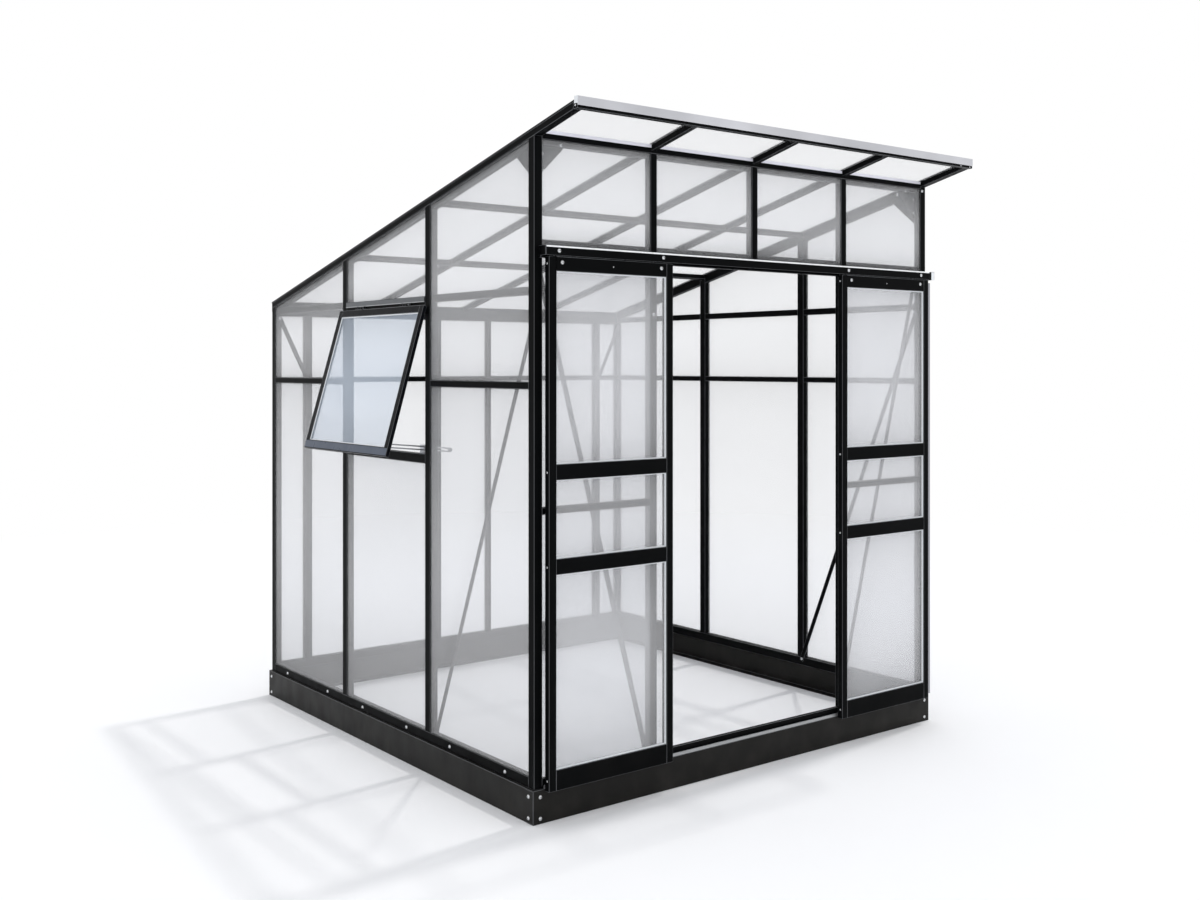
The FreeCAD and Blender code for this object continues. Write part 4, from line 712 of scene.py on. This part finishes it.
class GREENHOUSE_OT_bolts(bpy.types.Operator):
    """Adds domed bolt heads with washers in place of the plain heads"""
    bl_idname = "greenhouse.bolts"
    bl_label = "Bolts"

    def execute(self, context):
        tones = context.scene.greenhouse_colours
        finishes = [metal("zinc_heads", tones.zinc, 0.26, stain=0.88),
                    # Painted shadow: a dark colour on the drive's faces, where shade falls.
                    plastic("drive_shadow", tones.recess)]
        low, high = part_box("post_front_left")
        post = (low + high) / 2
        for node in BOLT_NODES:
            mesh = bmesh.new()
            for solid in solids(node):
                centre, size = middle(solid["points"])
                axis = min(range(3), key=lambda i: size[i])
                way = Vector((0, 0, 0))
                outward = 1 if abs(centre[axis]) > abs(post[axis]) else -1
                way[axis] = math.copysign(1, centre[axis]) * outward
                height = size[axis]
                domed_head(mesh, centre - way * height / 2, way, max(size) / 2, height)
            piece(node + "_heads", mesh, finishes, BODY[node], [node])
        for node, body in DOOR_BOLTS.items():
            mesh = bmesh.new()
            for solid in solids(node):
                centre, size = middle(solid["points"])
                if size.x < size.z * 0.5:
                    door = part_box(body + "_frame")
                    way = Vector((math.copysign(1, centre.x - (door[0].x + door[1].x) / 2), 0, 0))
                    flat_screw(mesh, centre - way * size.x / 2, way, size.y / 2, size.x)
                elif size.y < size.x:
                    domed_head(mesh, centre - FORWARD * size.y / 2, FORWARD, size.x / 2, size.y)
                else:
                    self.axle(mesh, solid["points"], centre)
            piece(node + "_heads", mesh, finishes, body, [node])
        return {"FINISHED"}

    def axle(self, mesh, points, centre):
        """Adds a roller's axle: a domed head in front, and the stepped shank behind it."""
        steps = {}
        for point in points:
            reach = math.hypot(point.x - centre.x, point.z - centre.z)
            low, high = steps.get(round(point.y, 5), (reach, reach))
            steps[round(point.y, 5)] = (min(low, reach), max(high, reach))
        stops = sorted(steps)
        front, under = stops[0], stops[1]
        domed_head(mesh, Vector((centre.x, under, centre.z)), FORWARD, steps[front][1], under - front)
        shank = min(steps[under])
        collar = steps[stops[-1]][1]
        way = Vector((0, 1, 0))
        lathe(mesh, Vector((centre.x, under, centre.z)), way,
              [(0, 0), (shank, 0), (shank, stops[2] - under), (collar, stops[2] - under),
               (collar, stops[3] - under), (shank, stops[3] - under), (shank, stops[4] - under),
               (collar, stops[4] - under), (collar * 0.96, stops[5] - under), (0, stops[5] - under)])


class GREENHOUSE_OT_track(bpy.types.Operator):
    """Adds the bright bar along the top of the track's hood, and the sleeve and cover on its right end. The
    bar is a real metal lip, and its extra brightness is a painted highlight of the hood's top edge.
    """
    bl_idname = "greenhouse.track"
    bl_label = "Track trim"

    def execute(self, context):
        tones = context.scene.greenhouse_colours
        low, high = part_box("door_track")
        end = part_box("track_end_caps")[1]
        bar_depth, bar_height = 0.0025, 0.005
        mesh = bmesh.new()
        block(mesh, (low.x, low.y - bar_depth, high.z - bar_height), (high.x, low.y, high.z), 0.0008)
        # A real metal lip, with its colour brightened above the zinc as a painted highlight.
        piece("track_hood_bar", mesh, [metal("bright_bar_highlight", toned(tones.zinc, 1.2), 0.22)],
              BODY["door_track"])
        sleeve = coat("sleeve_coat", tones.frame_black, tones.dust, 0.06, 0.36, 0.012)
        cover = plastic("end_cover", toned(tones.seal, 1.15), 0.35)
        lap, seam, tip = 0.003, 0.010, 0.027      # Ends of the sleeve and the cover, from the hood's end
        parts = (("track_end_sleeve", end.x - lap, end.x + seam, 0.0, sleeve, FRAME_SLOT),
                 ("track_end_cover", end.x + seam, end.x + tip, 0.0008, cover, "pale_trim"))
        height, gap, skin, edge_round = 0.031, 0.0012, 0.002, 0.0005
        for name, near, far, proud, finish, slot in parts:
            mesh = bmesh.new()
            front, foot, top = low.y - gap - proud, end.z - height, end.z + proud
            block(mesh, (near, front, foot), (far, low.y + 0.0008, top), edge_round)
            block(mesh, (max(near, end.x), front, top - skin), (far, high.y, top), edge_round)
            block(mesh, (far - skin, front, foot), (far, high.y, top), edge_round)
            piece(name, mesh, [finish], BODY["track_end_caps"])
        return {"FINISHED"}


class GREENHOUSE_OT_brush(bpy.types.Operator):
    """Adds the pale brush and its carrier along the right door's outer edge"""
    bl_idname = "greenhouse.brush"
    bl_label = "Door brush"

    def execute(self, context):
        low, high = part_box("right_door_frame")
        foot, top, play = low.z + 0.012, high.z - 0.030, 0.002
        carrier, root, reach = 0.003, 0.0025, 0.017      # Measured outward from the leaf
        mesh = bmesh.new()
        block(mesh, (high.x, low.y + 0.003, foot), (high.x + carrier, low.y + 0.010, top), 0.0004)
        block(mesh, (high.x + root, low.y + 0.005, foot + play),
              (high.x + reach, low.y + 0.008, top - play), 0.0006)
        hair = plastic("brush_hair", toned(context.scene.greenhouse_colours.pale_trim, 0.6), 0.6, 0.001)
        piece("right_door_brush", mesh, [hair], "right_door")
        return {"FINISHED"}


class GREENHOUSE_OT_threshold(bpy.types.Operator):
    """Adds the metal cover over the threshold's front lip"""
    bl_idname = "greenhouse.threshold"
    bl_label = "Threshold cover"

    def execute(self, context):
        tones, sizes = context.scene.greenhouse_colours, context.scene.greenhouse_sizes
        low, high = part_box("door_threshold")
        lip, sheet = low.z + sizes.threshold_lip, 0.0008
        mesh = bmesh.new()
        block(mesh, (low.x, low.y - sheet, low.z + 0.001), (high.x, low.y, lip + sheet), 0.0002)
        block(mesh, (low.x, low.y - sheet, lip), (high.x, low.y + 0.0016, lip + sheet), 0.0002)
        piece("threshold_lip_cover", mesh, [metal("bright_cover", toned(tones.zinc, 0.5), 0.38)],
              BODY["door_threshold"])
        return {"FINISHED"}


class GREENHOUSE_OT_eave(bpy.types.Operator):
    """Adds the pale closure strips above the eave beam and the clip on the fascia's cap"""
    bl_idname = "greenhouse.eave"
    bl_label = "Eave trim"

    def execute(self, context):
        tones, sizes = context.scene.greenhouse_colours, context.scene.greenhouse_sizes
        pale = coat("closure_coat", toned(tones.pale_trim, 1.3), tones.dust, 0.4, 0.4)
        low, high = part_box("eave_beam")
        mullions = sorted({round(middle(solid["points"])[0].x, 4) for solid in solids("transom_mullions")})
        half = sizes.rafter_face / 2
        depth, drop, play = 0.0011, 0.0112, 0.0005
        edges = [low.x] + [x + way * half for x in mullions for way in (-1, 1)] + [high.x]
        mesh = bmesh.new()
        for start, end in zip(edges[0::2], edges[1::2]):
            block(mesh, (start + play, low.y - depth, high.z - drop),
                  (end - play, low.y, high.z - play), 0.0003)
        piece("eave_closure_strips", mesh, [pale], BODY["eave_beam"])
        low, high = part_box("fascia_cap")
        mesh = bmesh.new()
        block(mesh, (low.x - 0.002, low.y + 0.0005, low.z + 0.005), (low.x, high.y, high.z), 0.0005)
        piece("fascia_cap_clip", mesh, [plastic("cap_clip", tones.seal)], BODY["fascia_cap"])
        return {"FINISHED"}


class GREENHOUSE_OT_flashing(bpy.types.Operator):
    """Adds the flashing above the window, with its bright hem. The hem's bright metal is a painted
    highlight along the flashing's lower edge.
    """
    bl_idname = "greenhouse.flashing"
    bl_label = "Window flashing"

    def execute(self, context):
        tones = context.scene.greenhouse_colours
        low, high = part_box("window_rails")
        sheet = 0.0015
        front, back = low.x - 0.0021 - sheet, low.x - 0.0021
        top, foot = high.z + 0.001, high.z - 0.019
        near, far, hem = low.y + 0.001, high.y - 0.001, foot + 0.003
        mesh = bmesh.new()
        block(mesh, (front, near, hem), (back, far, top), 0.0003)
        block(mesh, (front, near, top - sheet), (low.x, far, top), 0.0003)
        piece("window_flashing", mesh, [metal("flashing_grey", tones.flashing, 0.45)],
              BODY["window_rails"])
        # Painted highlight: the flashing's lower edge as a strip of brighter bare metal.
        mesh = bmesh.new()
        block(mesh, (front - 0.0003, near, foot), (back, far, hem), 0.0005)
        piece("window_flashing_hem_highlight", mesh, [metal("flashing_hem_highlight", tones.bare_metal, 0.3)],
              BODY["window_rails"])
        return {"FINISHED"}


class GREENHOUSE_OT_sash_foot(bpy.types.Operator):
    """Adds the thin cover on the outer face of the sash's foot. Its bluish tone is a painted reflection of
    the sky.
    """
    bl_idname = "greenhouse.sash_foot"
    bl_label = "Sash foot cover"

    def execute(self, context):
        tones, sizes = context.scene.greenhouse_colours, context.scene.greenhouse_sizes
        sheet = solids("sash_sheet")[0]
        outward = sheet["normal"]
        outward = outward if outward.x < 0 else -outward
        across = UP.cross(outward).normalized()
        along = outward.cross(across).normalized()
        sash = [p for solid in solids("window_sash") for p in solid["points"]]
        sides = [p.dot(across) for p in sash]
        level = max(p.dot(outward) for p in sash)
        foot = min(p.dot(along) for p in sash)
        glass = min(p.dot(along) for p in sheet["points"]) + sizes.groove
        aside, below, above = 0.0015, 0.004, 0.003      # Rims that the cover leaves bare
        sunk, proud = 0.0004, 0.0006
        mesh = bmesh.new()
        block(mesh, (min(sides) + aside, foot + below, level - sunk),
              (max(sides) - aside, glass - above, level + proud), 0.0003)
        for vertex in mesh.verts:
            vertex.co = across * vertex.co.x + along * vertex.co.y + outward * vertex.co.z
        # Bluish coat: a painted sky reflection on the foot of the sash.
        piece("sash_foot_cover", mesh, [coat("foot_sky_reflection_coat", tones.sash_foot, tones.dust, 0.3, 0.3, 0.02)],
              BODY["window_sash"])
        return {"FINISHED"}


class GREENHOUSE_OT_screws(bpy.types.Operator):
    """Adds the small screws of the fascia and the gussets, and the plugs in the doors' top rails"""
    bl_idname = "greenhouse.screws"
    bl_label = "Screws and plugs"

    def execute(self, context):
        tones = context.scene.greenhouse_colours
        finishes = [metal("screw_heads", tones.zinc, 0.26, stain=0.88),
                    # Painted shadow: a dark colour on the drive's faces, where shade falls.
                    plastic("screw_drive_shadow", tones.recess)]
        low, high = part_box("roof_fascia")
        mesh = bmesh.new()
        for side in (-1, 1):
            flat_screw(mesh, Vector((side * high.x, low.y + 0.0105, low.z + 0.0095)),
                       Vector((side, 0, 0)), 0.0032, 0.0012)
        for inset_x in (0.016, 0.070):
            flat_screw(mesh, Vector((high.x - inset_x, low.y, low.z + 0.0045)), FORWARD, 0.0026, 0.001)
        piece("fascia_screws", mesh, finishes, BODY["roof_fascia"])
        low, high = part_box("corner_gussets")
        beam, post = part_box("eave_beam"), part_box("post_front_right")
        screw_line = 2.0973      # Height that the corner screws are measured down from
        beam_screw = 0.8326      # Distance of the beam's end screws from the middle of the front
        behind = beam[0].y + 0.010
        mesh = bmesh.new()
        for across in (low.x + 0.042, high.x - 0.026):
            for drop in (0.040, 0.093):
                flat_screw(mesh, Vector((across, low.y, screw_line - drop)), FORWARD, 0.0045, 0.0014)
        for side in (-1, 1):
            spot = Vector((side * beam_screw, behind, screw_line - 0.0123))
            flat_screw(mesh, spot, FORWARD, 0.0045, 0.0012)
        spot = Vector((post[0].x + 0.0102, post[0].y, screw_line - 0.0076))
        domed_head(mesh, spot, FORWARD, 0.006, 0.004)
        piece("corner_screws", mesh, finishes, BODY["corner_gussets"])
        dark = plastic("plug_rubber", tones.gasket, 0.5)
        for door in ("left_door", "right_door"):
            low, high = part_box(door + "_sheets")
            frame_low, frame_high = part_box(door + "_frame")
            across = (frame_low.x + frame_high.x) / 2
            mesh = bmesh.new()
            spot = Vector((across, frame_low.y, high.z + 0.016))
            lathe(mesh, spot, FORWARD, [(0.0, 0.0), (0.0036, 0.0), (0.0035, 0.0006), (0.0026, 0.0008),
                                        (0.0016, 0.0008), (0.0012, 0.0003), (0.0, 0.0003)], marks=(4, 5))
            piece(door + "_plug", mesh, [dark, finishes[0]], door)
        return {"FINISHED"}


class GREENHOUSE_PT_panel(bpy.types.Panel):
    """Lists the greenhouse's pieces, sizes and colours"""
    bl_idname = "GREENHOUSE_PT_panel"
    bl_label = "Greenhouse"
    bl_space_type = "VIEW_3D"
    bl_region_type = "UI"
    bl_category = "Greenhouse"

    def draw(self, context):
        for operator in OPERATORS:
            self.layout.operator(operator.bl_idname)
        for group in GROUPS:
            values = getattr(context.scene, group)
            for key in values.bl_rna.properties.keys():
                if key not in ("rna_type", "name"):
                    self.layout.prop(values, key)


GROUPS = {"greenhouse_colours": GreenhouseColours, "greenhouse_sizes": GreenhouseSizes,
          "greenhouse_stage": GreenhouseStage}
OPERATORS = (GREENHOUSE_OT_stage, GREENHOUSE_OT_coats, GREENHOUSE_OT_sheets, GREENHOUSE_OT_seals,
             GREENHOUSE_OT_bolts, GREENHOUSE_OT_screws, GREENHOUSE_OT_track, GREENHOUSE_OT_brush,
             GREENHOUSE_OT_threshold, GREENHOUSE_OT_eave, GREENHOUSE_OT_flashing,
             GREENHOUSE_OT_sash_foot)


def register():
    for group, kind in GROUPS.items():
        bpy.utils.register_class(kind)
        setattr(bpy.types.Scene, group, bpy.props.PointerProperty(type=kind))
    for kind in (*OPERATORS, GREENHOUSE_PT_panel):
        bpy.utils.register_class(kind)


def unregister():
    for kind in (GREENHOUSE_PT_panel, *reversed(OPERATORS)):
        bpy.utils.unregister_class(kind)
    for group, kind in GROUPS.items():
        delattr(bpy.types.Scene, group)
        bpy.utils.unregister_class(kind)


def main():
    register()
    for operator in OPERATORS:
        getattr(bpy.ops.greenhouse, operator.bl_idname.split(".")[1])()


if __name__ == "__main__":
    main()
